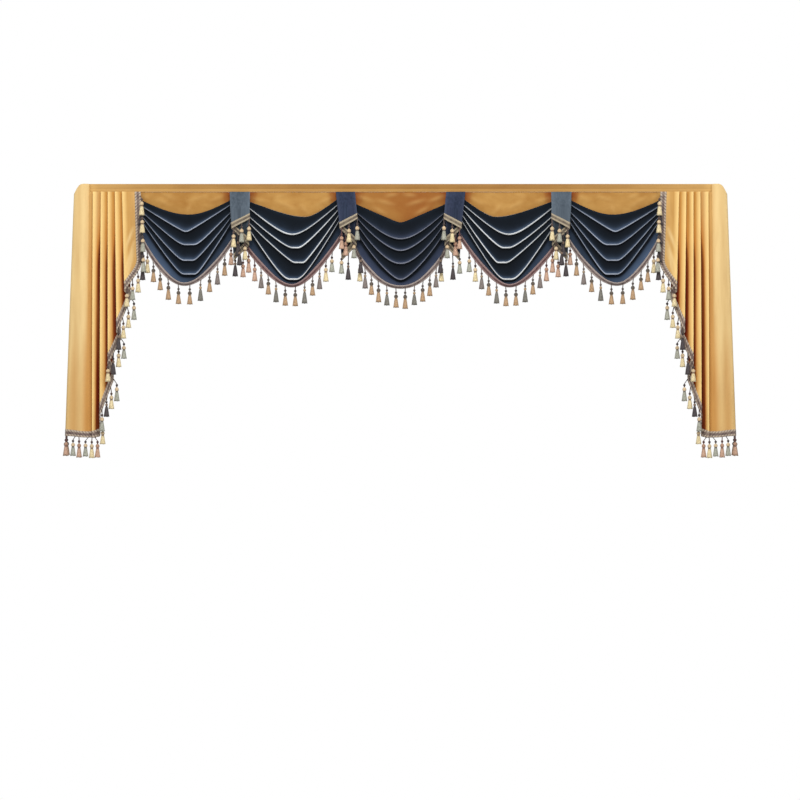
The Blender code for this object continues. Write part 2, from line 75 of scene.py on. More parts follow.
def add_node(tree, kind, **values):
    """A node with its sockets set: a value is a number, a colour or another node's output."""
    node = tree.nodes.new("ShaderNode" + kind)
    for name, value in values.items():
        socket = node.inputs[int(name[1:])] if name[1:].isdigit() else node.inputs[name]
        if isinstance(value, bpy.types.NodeSocket):
            tree.links.new(value, socket)
        else:
            socket.default_value = value
    return node


def add_noise(tree, scale, stretch, detail):
    """A cloudy pattern in the piece's own place, drawn out along the axes by stretch."""
    place = add_node(tree, "TexCoord").outputs["Object"]
    turned = add_node(tree, "Mapping", Vector=place, Scale=stretch).outputs["Vector"]
    return add_node(tree, "TexNoise", Vector=turned, Scale=scale, Detail=detail).outputs["Fac"]


def spread(tree, value, low, high, to_low=0.0, to_high=1.0):
    """A value stretched from one range to another."""
    node = add_node(tree, "MapRange", Value=value)
    ends = (("From Min", low), ("From Max", high), ("To Min", to_low), ("To Max", to_high))
    for name, number in ends:
        node.inputs[name].default_value = number
    return node.outputs["Result"]


def mix_colours(tree, share, first, second):
    """One colour passing into another by a share that a node gives."""
    node = tree.nodes.new("ShaderNodeMix")
    node.data_type = "RGBA"
    for index, value in ((MIX_SHARE, share), (MIX_FIRST, first), (MIX_SECOND, second)):
        if isinstance(value, bpy.types.NodeSocket):
            tree.links.new(value, node.inputs[index])
        else:
            node.inputs[index].default_value = (*value, 1.0)
    return node.outputs[MIX_RESULT]


floor_bm = bmesh.new()
bmesh.ops.create_grid(floor_bm, x_segments=1, y_segments=1, size=0.5)
bmesh.ops.scale(floor_bm, verts=floor_bm.verts, vec=(FLOOR_WIDTH, FLOOR_DEPTH, 1.0))
bmesh.ops.translate(floor_bm, verts=floor_bm.verts, vec=(0.0, FLOOR_MIDDLE_Y, -FLOOR_DROP))
floor_mesh = bpy.data.meshes.new("floor")
floor_bm.to_mesh(floor_mesh)
floor_bm.free()
floor = bpy.data.objects.new("floor", floor_mesh)
bpy.context.scene.collection.objects.link(floor)
floor_finish, floor_tree, floor_shader = new_finish("pale_floor")
floor_clouds = add_noise(floor_tree, FLOOR_CLOUDS, (1, 1, 1), 2.0)
floor_grain = spread(floor_tree, floor_clouds, *FLOOR_CLOUD_REACH)
floor_tree.links.new(mix_colours(floor_tree, floor_grain, PALE_FLOOR, BRIGHT_FLOOR),
                     floor_shader.inputs["Base Color"])
floor_shader.inputs["Roughness"].default_value = FLOOR_ROUGHNESS
floor_mesh.materials.append(floor_finish)

world = bpy.data.worlds.new("white_room")
bpy.context.scene.world = world
world.use_nodes = True
world_tree = world.node_tree
surround = world_tree.nodes["Background"]
surround.inputs["Color"].default_value = (1.0, 1.0, 1.0, 1.0)
seen = add_node(world_tree, "LightPath").outputs["Is Camera Ray"]
fill = spread(world_tree, seen, 0.0, 1.0, SOFT_FILL, 1.0)
world_tree.links.new(fill, surround.inputs["Strength"])

for lamp_name, lamp_at, lamp_size, lamp_power in LAMPS:
    lamp_data = bpy.data.lights.new(lamp_name, "AREA")
    lamp_data.size = lamp_size
    lamp_data.energy = lamp_power
    lamp = bpy.data.objects.new(lamp_name, lamp_data)
    lamp.location = lamp_at
    lamp.rotation_euler = (Vector(LAMP_AIM) - lamp.location).to_track_quat("-Z", "Y").to_euler()
    bpy.context.scene.collection.objects.link(lamp)

eye_data = bpy.data.cameras.new("eye")
eye_data.sensor_width = FILM_WIDTH
eye_data.lens = LENS
eye_data.clip_end = FARTHEST_SEEN
eye = bpy.data.objects.new("eye", eye_data)
eye.location = EYE
eye.rotation_euler = (math.pi / 2.0, 0.0, 0.0)
bpy.context.scene.collection.objects.link(eye)
bpy.context.scene.camera = eye
bpy.context.scene.view_settings.view_transform = "Standard"

# Heading: a flat strip of gold velvet, doubled over and stitched along its length, so that the part
# below its seam stands a little proud. Its top edge is tacked or hooked to a board.
HEADING_HALF_WIDTH = 1.402
HEADING_HEIGHT = 0.036
HEADING_THICKNESS = 0.0024
HEADING_COLUMNS = 140
HEADING_ROWS = 14
SEAM_DROP = 0.0207
SEAM_WIDTH = 0.0022
SEAM_DEPTH = 0.0006
SEAM_SHADE = 0.10
WELT_HEIGHT = 0.0007
WELT_RISE = 0.003
WELT_GLEAM = 0.30
WELT_GLEAM_RISE = 0.004
# How often an unevenness comes along and down the cloth, and its seed.
HEADING_WAVES = (9.0, 60.0, 3.1)
HEADING_WEAR = (2.5, 20.0, 6.2)
HEADING_WAVE_HEIGHT = 0.0005
WEAR_NAP = 0.12
WEAR_CHANGE = 0.2
# How pale the pile is towards the heading's ends, then how much painted light lifts the shade at
# its very ends; each from which x, and over what way it gets so.
SIDE_NAP, SIDE_START, SIDE_LENGTH = 0.75, 0.9, 0.5
END_PAINTED_LIGHT, END_START, END_LENGTH = 0.25, 1.36, 0.03
# Velvet: the spans that its painted shade, clouds, strokes and tufts of pile are stretched from and
# to.
WARM_REACH = (0.05, 0.34)
CLOUD_SCALE = 7.0
CLOUD_STRETCH = (1.0, 1.0, 0.7)
LIE_REACH = (0.72, 1.28)
STROKE_REACH = (0.25, 0.6)
STROKE_HOLD = (0.8, 1.0)
STROKE_DEPTH = 0.0015
PILE_SCALE = 900.0
PILE_REACH = (0.3, 0.7)
PILE_ROUGHNESS = (0.72, 0.95)
PILE_DEPTH = 0.0005
SHEEN_ROUGHNESS = 0.45
VELVET_SHINE = 0.12
# A velvet's colours: with the pile, across it, its painted shade in a fold and deep in it, its
# painted highlight on an edge, and its pale nap that also carries painted light.
HEADING_GOLD = ((160, 116, 62), (149, 105, 54), (138, 90, 42), (100, 28, 5), (214, 168, 98),
                (210, 168, 102))
HEADING_STREAK = (9.0, 9.0, 40.0)
GOLD_TINT = (240, 204, 134)
GOLD_SHEEN = 0.15


def srgb(red, green, blue):
    """A cloth's colour as seen, from 0 to 255, turned into light."""
    return tuple(((value / 255.0 + 0.055) / 1.055) ** 2.4 for value in (red, green, blue))


def blend(low, high, share):
    """The value that lies a share of the way from low to high."""
    return low + (high - low) * share


def smooth_step(value):
    """0 to 1 with soft ends."""
    value = min(max(value, 0.0), 1.0)
    return value * value * (3.0 - 2.0 * value)


def unevenness(along, down, pattern):
    """Soft unevenness from -1 to 1; pattern is how often it comes along and down, and its seed."""
    return noise.noise(Vector((along * pattern[0], down * pattern[1], pattern[2])))


def make_cloth(name, columns, rows, place, thickness):
    """A cloth as a grid of cells. place(across, down), both from 0 to 1, gives the point and then
    the painted shade, the painted highlight and the pale nap with painted light that the cloth has
    there."""
    bm = bmesh.new()
    bmesh.ops.create_grid(bm, x_segments=columns, y_segments=rows, size=0.5)
    layers = [bm.verts.layers.float.new(word) for word in ("painted_shade_and_tone", "painted_highlight", "nap_and_painted_light")]
    run = bm.loops.layers.uv.new("run")
    for face in bm.faces:
        face.smooth = True
        for loop in face.loops:
            loop[run].uv = (loop.vert.co.x + 0.5, 0.5 - loop.vert.co.y)
    for vert in bm.verts:
        values = place(vert.co.x + 0.5, 0.5 - vert.co.y)
        vert.co = [float(value) for value in values[:3]]
        for layer, value in zip(layers, values[3:]):
            vert[layer] = float(value)
    mesh = bpy.data.meshes.new(name)
    bm.to_mesh(mesh)
    bm.free()
    piece = bpy.data.objects.new(name, mesh)
    bpy.context.scene.collection.objects.link(piece)
    thicken = piece.modifiers.new("Cloth thickness", "SOLIDIFY")
    thicken.thickness = thickness
    thicken.offset = 0.0
    piece.modifiers.new("Even shading", "WEIGHTED_NORMAL")
    return piece


def velvet(name, colours, tint, sheen, streak, line=(0.0, 1.0), crease=(0.0, 1.0)):
    """Short pile velvet: cloudy and streaked where the pile lies another way, with painted shade,
    warmer and then deep dark, in a fold, a painted highlight in a line along its edge, and pale nap
    with painted light."""
    light, shade, warm, deep, edge, nap_and_painted_light = (srgb(*colour) for colour in colours)
    material, tree, shader = new_finish(name)
    cloud = add_noise(tree, CLOUD_SCALE, CLOUD_STRETCH, 3.0)
    stroke = add_noise(tree, 1.0, streak, 3.0)
    lie = add_node(tree, "Math", _0=cloud, _1=stroke).outputs[0]
    hold = spread(tree, stroke, *STROKE_REACH, *STROKE_HOLD)
    colour = mix_colours(tree, spread(tree, lie, *LIE_REACH), shade, light)
    # Painted in turn: pale nap with painted light, painted shade in a fold, warm and then deep, and
    # a painted highlight on an edge.
    for word, other, reach in (("nap_and_painted_light", nap_and_painted_light, (0.0, 1.0)), ("painted_shade_and_tone", warm, WARM_REACH),
                               ("painted_shade_and_tone", deep, crease), ("painted_highlight", edge, line)):
        measure = tree.nodes.new("ShaderNodeAttribute")
        measure.attribute_name = word
        reached = spread(tree, measure.outputs["Fac"], *reach)
        uneven = add_node(tree, "Math", _0=reached, _1=hold)
        uneven.operation = "MULTIPLY"
        colour = mix_colours(tree, uneven.outputs[0], colour, other)
    pile = add_noise(tree, PILE_SCALE, (1.0, 1.0, 1.0), 2.0)
    rough = spread(tree, pile, *PILE_REACH, *PILE_ROUGHNESS)
    strokes = add_node(tree, "Bump", Height=stroke, Strength=0.25, Distance=STROKE_DEPTH)
    tufts = add_node(tree, "Bump", Height=pile, Strength=0.3, Distance=PILE_DEPTH,
                     Normal=strokes.outputs["Normal"])
    tree.links.new(colour, shader.inputs["Base Color"])
    tree.links.new(rough, shader.inputs["Roughness"])
    tree.links.new(tufts.outputs["Normal"], shader.inputs["Normal"])
    shader.inputs["Sheen Weight"].default_value = sheen
    shader.inputs["Sheen Roughness"].default_value = SHEEN_ROUGHNESS
    shader.inputs["Sheen Tint"].default_value = (*srgb(*tint), 1.0)
    shader.inputs["Specular IOR Level"].default_value = VELVET_SHINE
    return material


def put_on(piece, node, slot, finish):
    """The piece takes its finish and the place of its plain solid."""
    piece.data.materials.append(finish)
    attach(piece, "root")
    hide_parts(node)


def heading_place(across, down):
    """The strip's front, with the doubled welt below its seam, painted shade along the seam, a
    painted highlight on the welt and painted light at its very ends.
    """
    x = blend(-HEADING_HALF_WIDTH, HEADING_HALF_WIDTH, across)
    drop = HEADING_HEIGHT * down
    welt = WELT_HEIGHT * smooth_step((drop - SEAM_DROP) / WELT_RISE)
    seam = math.exp(-((drop - SEAM_DROP) / SEAM_WIDTH) ** 2)
    wave = HEADING_WAVE_HEIGHT * unevenness(x, drop, HEADING_WAVES)
    edge = WELT_GLEAM * smooth_step((drop - SEAM_DROP) / WELT_GLEAM_RISE)
    worn = WEAR_NAP + WEAR_CHANGE * unevenness(x, drop, HEADING_WEAR)
    nap_and_painted_light = blend(worn, SIDE_NAP, smooth_step((abs(x) - SIDE_START) / SIDE_LENGTH))
    nap_and_painted_light += END_PAINTED_LIGHT * smooth_step((abs(x) - END_START) / END_LENGTH)
    return x, wave - welt + SEAM_DEPTH * seam, -drop, SEAM_SHADE * seam, edge, nap_and_painted_light


heading = make_cloth(
    "heading_cloth", HEADING_COLUMNS, HEADING_ROWS, heading_place, HEADING_THICKNESS)
put_on(heading, "heading", "gold_velvet", velvet(
    "gold_heading_velvet", HEADING_GOLD, GOLD_TINT, GOLD_SHEEN, HEADING_STREAK))

# Backing panel: one flat width of gold velvet sewn behind the heading's lower edge. It is only held
# along its top, so slanting creases run across it between the tabs.
MM = 0.001
BACKING_HALF_WIDTH = 1.222
BACKING_TOP_DROP = 0.0362
BACKING_DROP = 0.234
BACKING_THICKNESS = 0.002
BACKING_COLUMNS = 260
BACKING_ROWS = 28
BACKING_Y = 0.0026
BACKING_CLOUDS = (6.0, 14.0, 7.7)
CLOUD_HEIGHT = 0.0012
CLOUD_LOOK = 0.35
CREASE_WIDTH = 9.0
CREASE_HEIGHT = 0.0026
CREASE_LIMIT = 1.2
CREASE_END_SHARE = 0.35
CREASE_GLEAM = 0.35
CREASE_GLEAM_LIMIT = 0.5
# How much red painted shade lies beside a tab, how far so to the sides, from which drop that fades,
# and over what way. Then how much darker in the middle, from which x that fades, and over what way.
TAB_SHADE, TAB_SHADE_WIDTH, TAB_SHADE_DROP, TAB_SHADE_FADE = 0.75, 26.0, 0.05, 0.07
MIDDLE_SHADE, MIDDLE_SHADE_X, MIDDLE_SHADE_FADE = 0.26, 0.10, 0.20
BACKING_GOLD = ((182, 137, 74), (164, 116, 56), (154, 100, 46), (132, 60, 22), (206, 164, 100),
                (200, 156, 90))
BACKING_STREAK = (22.0, 22.0, 34.0)
BACKING_CREASE_REACH = (0.25, 1.0)
# Each crease runs from one point to another, given as x and drop in millimetres on the left half.
BACKING_CREASES = (
    ((-1165, 45), (-1131, 68)), ((-1068, 45), (-1016, 66)), ((-958, 74), (-872, 51)),
    ((-945, 88), (-962, 128)), ((-1100, 60), (-1040, 96)), ((-860, 78), (-800, 52)),
    ((-671, 63), (-599, 81)), ((-563, 58), (-522, 47)), ((-454, 89), (-418, 130)),
    ((-377, 89), (-310, 58)), ((-560, 72), (-480, 110)), ((-196, 53), (-124, 78)),
    ((-124, 104), (-67, 135)), ((-67, 53), (-15, 45)), ((-110, 70), (-30, 92)),
)
# The x of the tabs' sides on the left half, in millimetres.
TAB_SIDES = (-770, -677, -293, -205)


def crease_lift(x, drop, start, end, width):
    """How much of a crease's height the cloth has at x and drop, all in millimetres."""
    along_x, along_drop = end[0] - start[0], end[1] - start[1]
    way = along_x * along_x + along_drop * along_drop
    share = ((x - start[0]) * along_x + (drop - start[1]) * along_drop) / way
    share = min(max(share, 0.0), 1.0)
    apart = math.hypot(x - start[0] - along_x * share, drop - start[1] - along_drop * share)
    height = blend(CREASE_END_SHARE, 1.0, math.sin(math.pi * share))
    return math.exp(-(apart / width) ** 2) * height


def backing_place(across, down):
    """The panel with its creases and a painted highlight on them, red painted shade where it goes
    under the tabs, darker in the middle, and darker or paler in patches that follow its swells.
    """
    x = blend(-BACKING_HALF_WIDTH, BACKING_HALF_WIDTH, across)
    drop = blend(BACKING_TOP_DROP, BACKING_DROP, down)
    left_x = -abs(x) / MM
    lift = sum(crease_lift(left_x, drop / MM, start, end, CREASE_WIDTH)
               for start, end in BACKING_CREASES)
    beside = math.exp(-(min(abs(left_x - side) for side in TAB_SIDES) / TAB_SHADE_WIDTH) ** 2)
    faded = 1.0 - smooth_step((drop - TAB_SHADE_DROP) / TAB_SHADE_FADE)
    central = 1.0 - smooth_step((abs(x) - MIDDLE_SHADE_X) / MIDDLE_SHADE_FADE)
    cloud = unevenness(x, drop, BACKING_CLOUDS)
    y = BACKING_Y - CREASE_HEIGHT * min(lift, CREASE_LIMIT) + CLOUD_HEIGHT * cloud
    shade = TAB_SHADE * beside * faded + MIDDLE_SHADE * central + CLOUD_LOOK * max(-cloud, 0.0)
    edge = min(CREASE_GLEAM * lift, CREASE_GLEAM_LIMIT)
    return x, y, -drop, shade, edge, CLOUD_LOOK * max(cloud, 0.0)


backing = make_cloth(
    "backing_cloth", BACKING_COLUMNS, BACKING_ROWS, backing_place, BACKING_THICKNESS)
put_on(backing, "backing_panel", "gold_velvet", velvet(
    "gold_backing_velvet", BACKING_GOLD, GOLD_TINT, GOLD_SHEEN, BACKING_STREAK,
    crease=BACKING_CREASE_REACH))

# Tails: each is one width of gold velvet, pleated under the heading in five knife pleats that fall
# to a stepped hem. Its plain outer part goes up to the board and wraps back to the wall.
TAIL_THICKNESS = 0.002
TAIL_ROWS = 64
COLUMN_STEPS = 4
PLEAT_TOP_DROP = 0.0365
PLEAT_SPREAD_DROP = 0.75
PLEAT_START_SHARE = 0.25
FOLD_NOSE = 0.005
NOSE_X = 0.6
NOSE_Y = 0.8
STEP_INTO_BRAID = 0.35
# The drop from which the folds' painted shade, or the outer streaks', grows, and over what way it
# does.
FOLD_GROWTH = (0.08, 0.32)
STREAK_GROWTH = (0.48, 0.40)
STREAK_ROWS = 8
GROWTH_AT_TOP = 0.25
NAP_FADE = 0.6
NAP_FADE_START = 0.60
NAP_FADE_LENGTH = 0.45
# In millimetres: x at the heading and at the hem, y at both, the hem's drop, the braid's rise there
# and the drop where the cloth starts. Then the column's painted shade of a fold, its painted
# highlight along an edge, and how pale its nap is.
TAIL_INNER_EDGE = np.array((-1192, -1181, -22, -42, 398, 38, 36.5, 0.05, 0.0, 0.3))
TAIL_PLEATS = np.array((
    (-1251, -1238, -24, -46, 483, 42, 36.5, 0.0, 1.0, 0.0),
    (-1227, -1212, -6, -20, 520, 50, 36.5, 1.0, 0.0, 0.0),
    (-1283, -1273, -23, -43, 666, 58, 36.5, 0.0, 1.0, 0.0),
    (-1265, -1257, -6, -18, 702, 56, 36.5, 1.0, 0.0, 0.0),
    (-1315, -1312, -23, -42, 812, 52, 36.5, 0.0, 1.0, 0.0),
    (-1295, -1289, -6, -18, 886, 56, 36.5, 1.0, 0.0, 0.0),
    (-1346, -1348, -23, -41, 1040, 56, 36.5, 0.0, 1.0, 0.0),
    (-1330, -1351, -6, -17, 1136, 36, 36.5, 0.9, 0.0, 0.0),
    (-1382, -1383, -22, -40, 1141, 30, 36.5, 0.0, 1.0, 0.6),
    (-1367, -1369, -6, -17, 1141, 28, 36.5, 0.3, 0.0, 0.0),
))
TAIL_OUTER = np.array((
    (-1396, -1397, -12, -29, 1140, 27, 36.5, 0.12, 0.0, 0.3),
    (-1398, -1404, -8, -29, 1140, 27, 36.5, 0.16, 0.0, 0.2),
    (-1399, -1412, -6, -30, 1140, 27, 0, 0.19, 0.0, 0.4),
    (-1405, -1421, -8, -31, 1140, 27, 0, 0.17, 0.0, 0.8),
    (-1424, -1440, -18, -34, 1138, 27, 0, 0.0, 0.5, 1.0),
    (-1446, -1468, -14, -24, 1135, 28, 2, 0.20, 0.0, 0.6),
    (-1468, -1501, -7, -16, 1133, 29, 46, 0.0, 0.4, 1.0),
    (-1470, -1510, 2, -8, 1133, 29, 48, 0.0, 0.0, 1.0),
    (-1470, -1512, 50, 48, 1133, 29, 48, 0.0, 0.0, 0.8),
    (-1470, -1512, 100, 100, 1133, 29, 48, 0.0, 0.0, 0.8),
))
TAIL_CREASES = (
    ((-1196, 262), (-1246, 430)), ((-1198, 300), (-1232, 452)), ((-1200, 200), (-1236, 300)),
)
LAST_CREASED_X = -1246.0
TAIL_CREASE_WIDTH = 7.0
TAIL_CREASE_HEIGHT = 0.0035
TAIL_CREASE_HIGHLIGHT = 0.6
# A tail's soft swells: width, height and seed in millimetres, and how far they move the cloth.
TAIL_SWELLS = (60.0, 160.0, 1.3)
TAIL_SWELL_HEIGHT = 0.0012
TAIL_GOLD = ((200, 150, 78), (180, 128, 60), (192, 124, 54), (100, 28, 5), (240, 204, 134),
             (232, 202, 144))
TAIL_STREAK = (55.0, 55.0, 5.0)
TAIL_LINE_REACH = (0.60, 0.95)
TAIL_CREASE_REACH = (0.31, 0.47)
TAILS = (("tail_left", 1), ("tail_right", -1))


def on_soft_line(control, count, place):
    """Where a cubic B-spline is at a place, counted along the count points that control gives."""
    start = min(int(place), count - 2)
    share = place - start
    first, second = control(start), control(start + 1)
    before = control(start - 1) if start > 0 else 2.0 * first - second
    after = control(start + 2) if start + 2 < count else 2.0 * second - first
    return (before * (1.0 - share) ** 3
            + first * (3.0 * share ** 3 - 6.0 * share ** 2 + 4.0)
            + second * (-3.0 * share ** 3 + 3.0 * share ** 2 + 3.0 * share + 1.0)
            + after * share ** 3) / 6.0


def with_noses(edge, turns, outer):
    """The columns along a tail: a blunt nose at each fold and one column halfway between."""
    half = FOLD_NOSE / MM / 2.0
    lean = np.array((NOSE_X, NOSE_X, -NOSE_Y, -NOSE_Y, 0, 0, 0, 0, 0, 0)) * half
    columns = [edge]
    for turn in turns:
        columns += [(columns[-1] + turn + lean) / 2.0, turn + lean, turn - lean]
    return columns + list(outer)


TAIL_COLUMNS = with_noses(TAIL_INNER_EDGE, TAIL_PLEATS, TAIL_OUTER)


def tail_point(column, drop):
    """A point of one column of a tail at a drop, in metres: its pleats open as they fall."""
    fall = (drop - column[6] * MM) / (column[4] * MM - column[6] * MM)
    opened = smooth_step(blend(PLEAT_START_SHARE, 1.0, (drop - PLEAT_TOP_DROP) / PLEAT_SPREAD_DROP))
    start = smooth_step(PLEAT_START_SHARE)
    depth = max(0.0, (opened - start) / (1.0 - start))
    x = blend(column[0], column[1], fall)
    y = blend(column[2], column[3], depth)
    return np.array((x * MM, y * MM, -drop))


def tail_lift(x, drop):
    """How far creases and swells move a tail's cloth, and how much painted highlight its creases
    get there.
    """
    lift = 0.0
    if x > LAST_CREASED_X:
        lift = sum(crease_lift(x, drop, start, end, TAIL_CREASE_WIDTH)
                   for start, end in TAIL_CREASES)
    width, height, seed = TAIL_SWELLS
    swell = TAIL_SWELL_HEIGHT * noise.noise(Vector((x / width, drop / height, seed)))
    return swell - TAIL_CREASE_HEIGHT * lift, lift


def tail_place(side):
    """How a tail's cloth hangs on the left side, 1, or the right side, -1."""
    last = len(TAIL_COLUMNS) - 1

    def place(across, down):
        def control(index):
            column = TAIL_COLUMNS[index]
            low = (column[4] - column[5] * (1.0 - STEP_INTO_BRAID)) * MM
            drop = blend(column[6] * MM, low, down)
            begin, length = STREAK_GROWTH if index > last - STREAK_ROWS else FOLD_GROWTH
            grown = blend(GROWTH_AT_TOP, 1.0, smooth_step((drop - begin) / length))
            faded = smooth_step((drop - NAP_FADE_START) / NAP_FADE_LENGTH)
            nap_and_painted_light = column[9] * blend(1.0, NAP_FADE, faded)
            return np.concatenate((tail_point(column, drop), (column[7] * grown, column[8], nap_and_painted_light)))

        values = on_soft_line(control, last + 1, across * last)
        moved, lift = tail_lift(values[0] / MM, -values[2] / MM)
        values[1] += moved
        values[5] += TAIL_CREASE_HIGHLIGHT * lift
        values[0] *= side
        return values
    return place


gold_tail_velvet = velvet("gold_tail_velvet", TAIL_GOLD, GOLD_TINT, GOLD_SHEEN, TAIL_STREAK,
                          TAIL_LINE_REACH, TAIL_CREASE_REACH)
tails = {}
for name, side in TAILS:
    tails[name] = make_cloth(name + "_cloth", (len(TAIL_COLUMNS) - 1) * COLUMN_STEPS, TAIL_ROWS,
                             tail_place(side), TAIL_THICKNESS)
    put_on(tails[name], name, "gold_velvet", gold_tail_velvet)

# Swags: five draped lengths of dark blue velvet. Each one's folds hang from both its ends, and the
# crest of each fold hides where the next one begins. The ends are sewn under the tabs and tails.
SWAG_THICKNESS = 0.002
SWAG_COLUMNS = 72
ROW_STEPS = 2
SWAG_END_FORWARD = 0.010
TUCK_DEPTH = 0.017
TUCK_DROP = 0.006
TUCK_GROWTH = 2.0
END_TUCK_SHARE = 0.30
BULGE_POWER = 1.3
SWAG_BRAID_WIDTH = 0.021
SWAG_BRAID_TURN = 0.013
UNDER_SHARE = 0.4
SLOPE_STEP = 0.02
STEEPEST_RISE = 1.45
TOP_ROLL = 4.0
CREST_ROLL = 6.0
SAG = 0.0035
BAND_SHARES = (0.2, 0.42, 0.64, 0.84)
HEM_BAND_SHARES = (0.2, 0.45, 0.7, 0.9)
# Crinkles move a band in and out in its middle, and pulls along it do so as far as its ends.
SWAG_SEED = 11.0
CRINKLES = (9.0, 16.0)
CRINKLE_HEIGHT = 0.0022
PULLS_ALONG = 3.0
PULLS_DOWN = 3.0
PULLS_APART = 2.0
PULL_SEED = 4.0
PULL_HEIGHT = 0.0012
FREE_END, FREE_FADE = 0.5, 0.4
# Each kind of row's painted shade of a fold, painted highlight along its edge and painted light.
BAND_SHADE, HEM_BAND_SHADE, HEM_SHADE = 0.4, 0.25, 0.3
TOP_LINE, ROLL_LINE, END_LINE = 0.62, 0.35, 0.90
ROLL_PAINTED_LIGHT, CREST_PAINTED_LIGHT = 0.8, 0.4
# For the outer, inner and middle swags: the hem band's painted light, left and right, and a band's.
HEM_GLOW = ((1.2, 0.40), (0.45, 0.30), (1.2, 0.85))
HEM_GLOW_MIDDLE, HEM_GLOW_SLOPE = 0.35, 1.1
BAND_GLOW = (0.3, 0.12, 0.3)
BAND_GLOW_START, BAND_GLOW_LENGTH = 0.45, 0.5
# A fold line: the drop of its left end, its lowest point's x and drop, the drop of its right end,
# how round it is, how far its middle stands forward, how much of each side lies level and how much
# it hangs in. A swag: its ends, how far they run on behind, its fold lines, the x where its
# tassels start and stop, and their kinds.
OUTER_SWAG = (-1166, -770, 16, (
    (73, -953, 139, 76, 0.70, 10, 0.0, 0.0), (99, -962, 217, 98, 0.06, 38, 0.0, 0.05),
    (124, -941, 277, 135, 0.18, 54, 0.09, 0.0), (142, -946, 348, 161, 0.10, 66, 0.09, 0.12),
    (164, -940, 410, 189, 0.12, 74, 0.11, 0.06), (258, -966, 461, 295, 1.60, 66, 0.0, 0.0),
), -1135, -762, "caaaaabaBap")
INNER_SWAG = (-676, -294, 12, (
    (81, -430, 149, 76, 0.40, 10, 0.0, 0.0), (114, -486, 230, 104, 0.35, 38, 0.0, 0.0),
    (152, -470, 291, 133, 0.12, 54, 0.05, 0.14), (181, -450, 358, 167, 0.06, 66, 0.09, 0.12),
    (212, -480, 433, 197, 0.24, 74, 0.07, 0.0), (322, -486, 468, 292, 0.85, 66, 0.0, 0.0),
), -655, -308, "pBabaabaBcg")
MIDDLE_SWAG = (-201, 201, 16, (
    (91, 0, 174, 91, 0.07, 10, 0.0, 0.0), (127, 0, 250, 127, 0.50, 38, 0.0, 0.0),
    (147, 0, 303, 147, 0.08, 54, 0.0, 0.50), (173, 0, 362, 173, 0.10, 66, 0.0, 0.55),
    (211, 0, 434, 211, 0.06, 74, 0.0, 0.40), (320, 0, 474, 320, 2.00, 66, 0.0, 0.20),
), -183, 183, "cBaabaabaaBc")


def fold_point(swag, fold, across):
    """A point on a fold line: across runs from -1 at the swag's left end to 1 at its right end."""
    left, right, tuck, folds = swag[:4]
    left_drop, low_x, low, right_drop, roundness, forward, level, hang_in = fold
    tuck += TUCK_GROWTH * folds.index(fold)
    x = blend(low_x, right + tuck if across > 0.0 else left - tuck, abs(across))
    run, end = (low_x - left, left_drop) if x < low_x else (right - low_x, right_drop)
    share = max(abs(x - low_x) / run - level, 0.0) / (1.0 - level)
    share *= blend(1.0, share, hang_in)
    rounded = math.hypot(share, roundness) - roundness
    full = math.hypot(1.0, roundness) - roundness
    drop = end + (low - end) * (1.0 - rounded / full)
    y = -SWAG_END_FORWARD - forward * MM * (1.0 - across * across) ** BULGE_POWER
    return np.array((x * MM, y, -drop * MM))


def swag_braid_edges(swag, across):
    """The inner and outer edge of the braid along a swag's hem, turned under at its lowest part."""
    hem = swag[3][-1]
    outer = fold_point(swag, hem, across)
    beside = fold_point(swag, hem, across + (SLOPE_STEP if across < 0.0 else -SLOPE_STEP))
    slope = abs(beside[2] - outer[2]) / abs(beside[0] - outer[0])
    under = 1.0 - smooth_step(slope)
    rise = min(math.hypot(1.0, slope), STEEPEST_RISE)
    inner = outer + np.array((0.0, 0.0, SWAG_BRAID_WIDTH * (1.0 - UNDER_SHARE * under) * rise))
    outer[1] += SWAG_BRAID_TURN * under
    return inner, outer


def swag_rows(swag):
    """The rows down a swag: each one's fold line, its share of the way there, and its kind."""
    rows = [(0, 0.0, "top"), (0, 0.0, "below top")]
    last = len(swag[3]) - 1
    for index in range(1, last):
        if index > 1:
            rows.append((index - 1, 0.0, "tuck"))
        rows += [(index, share, "band") for share in BAND_SHARES]
        rows += [(index, 0.0, "roll"), (index, 0.0, "crest")]
    rows.append((last - 1, 0.0, "tuck"))
    rows += [(last, share, "hem band") for share in HEM_BAND_SHARES]
    return rows + [(last, 1.0, "hem")]


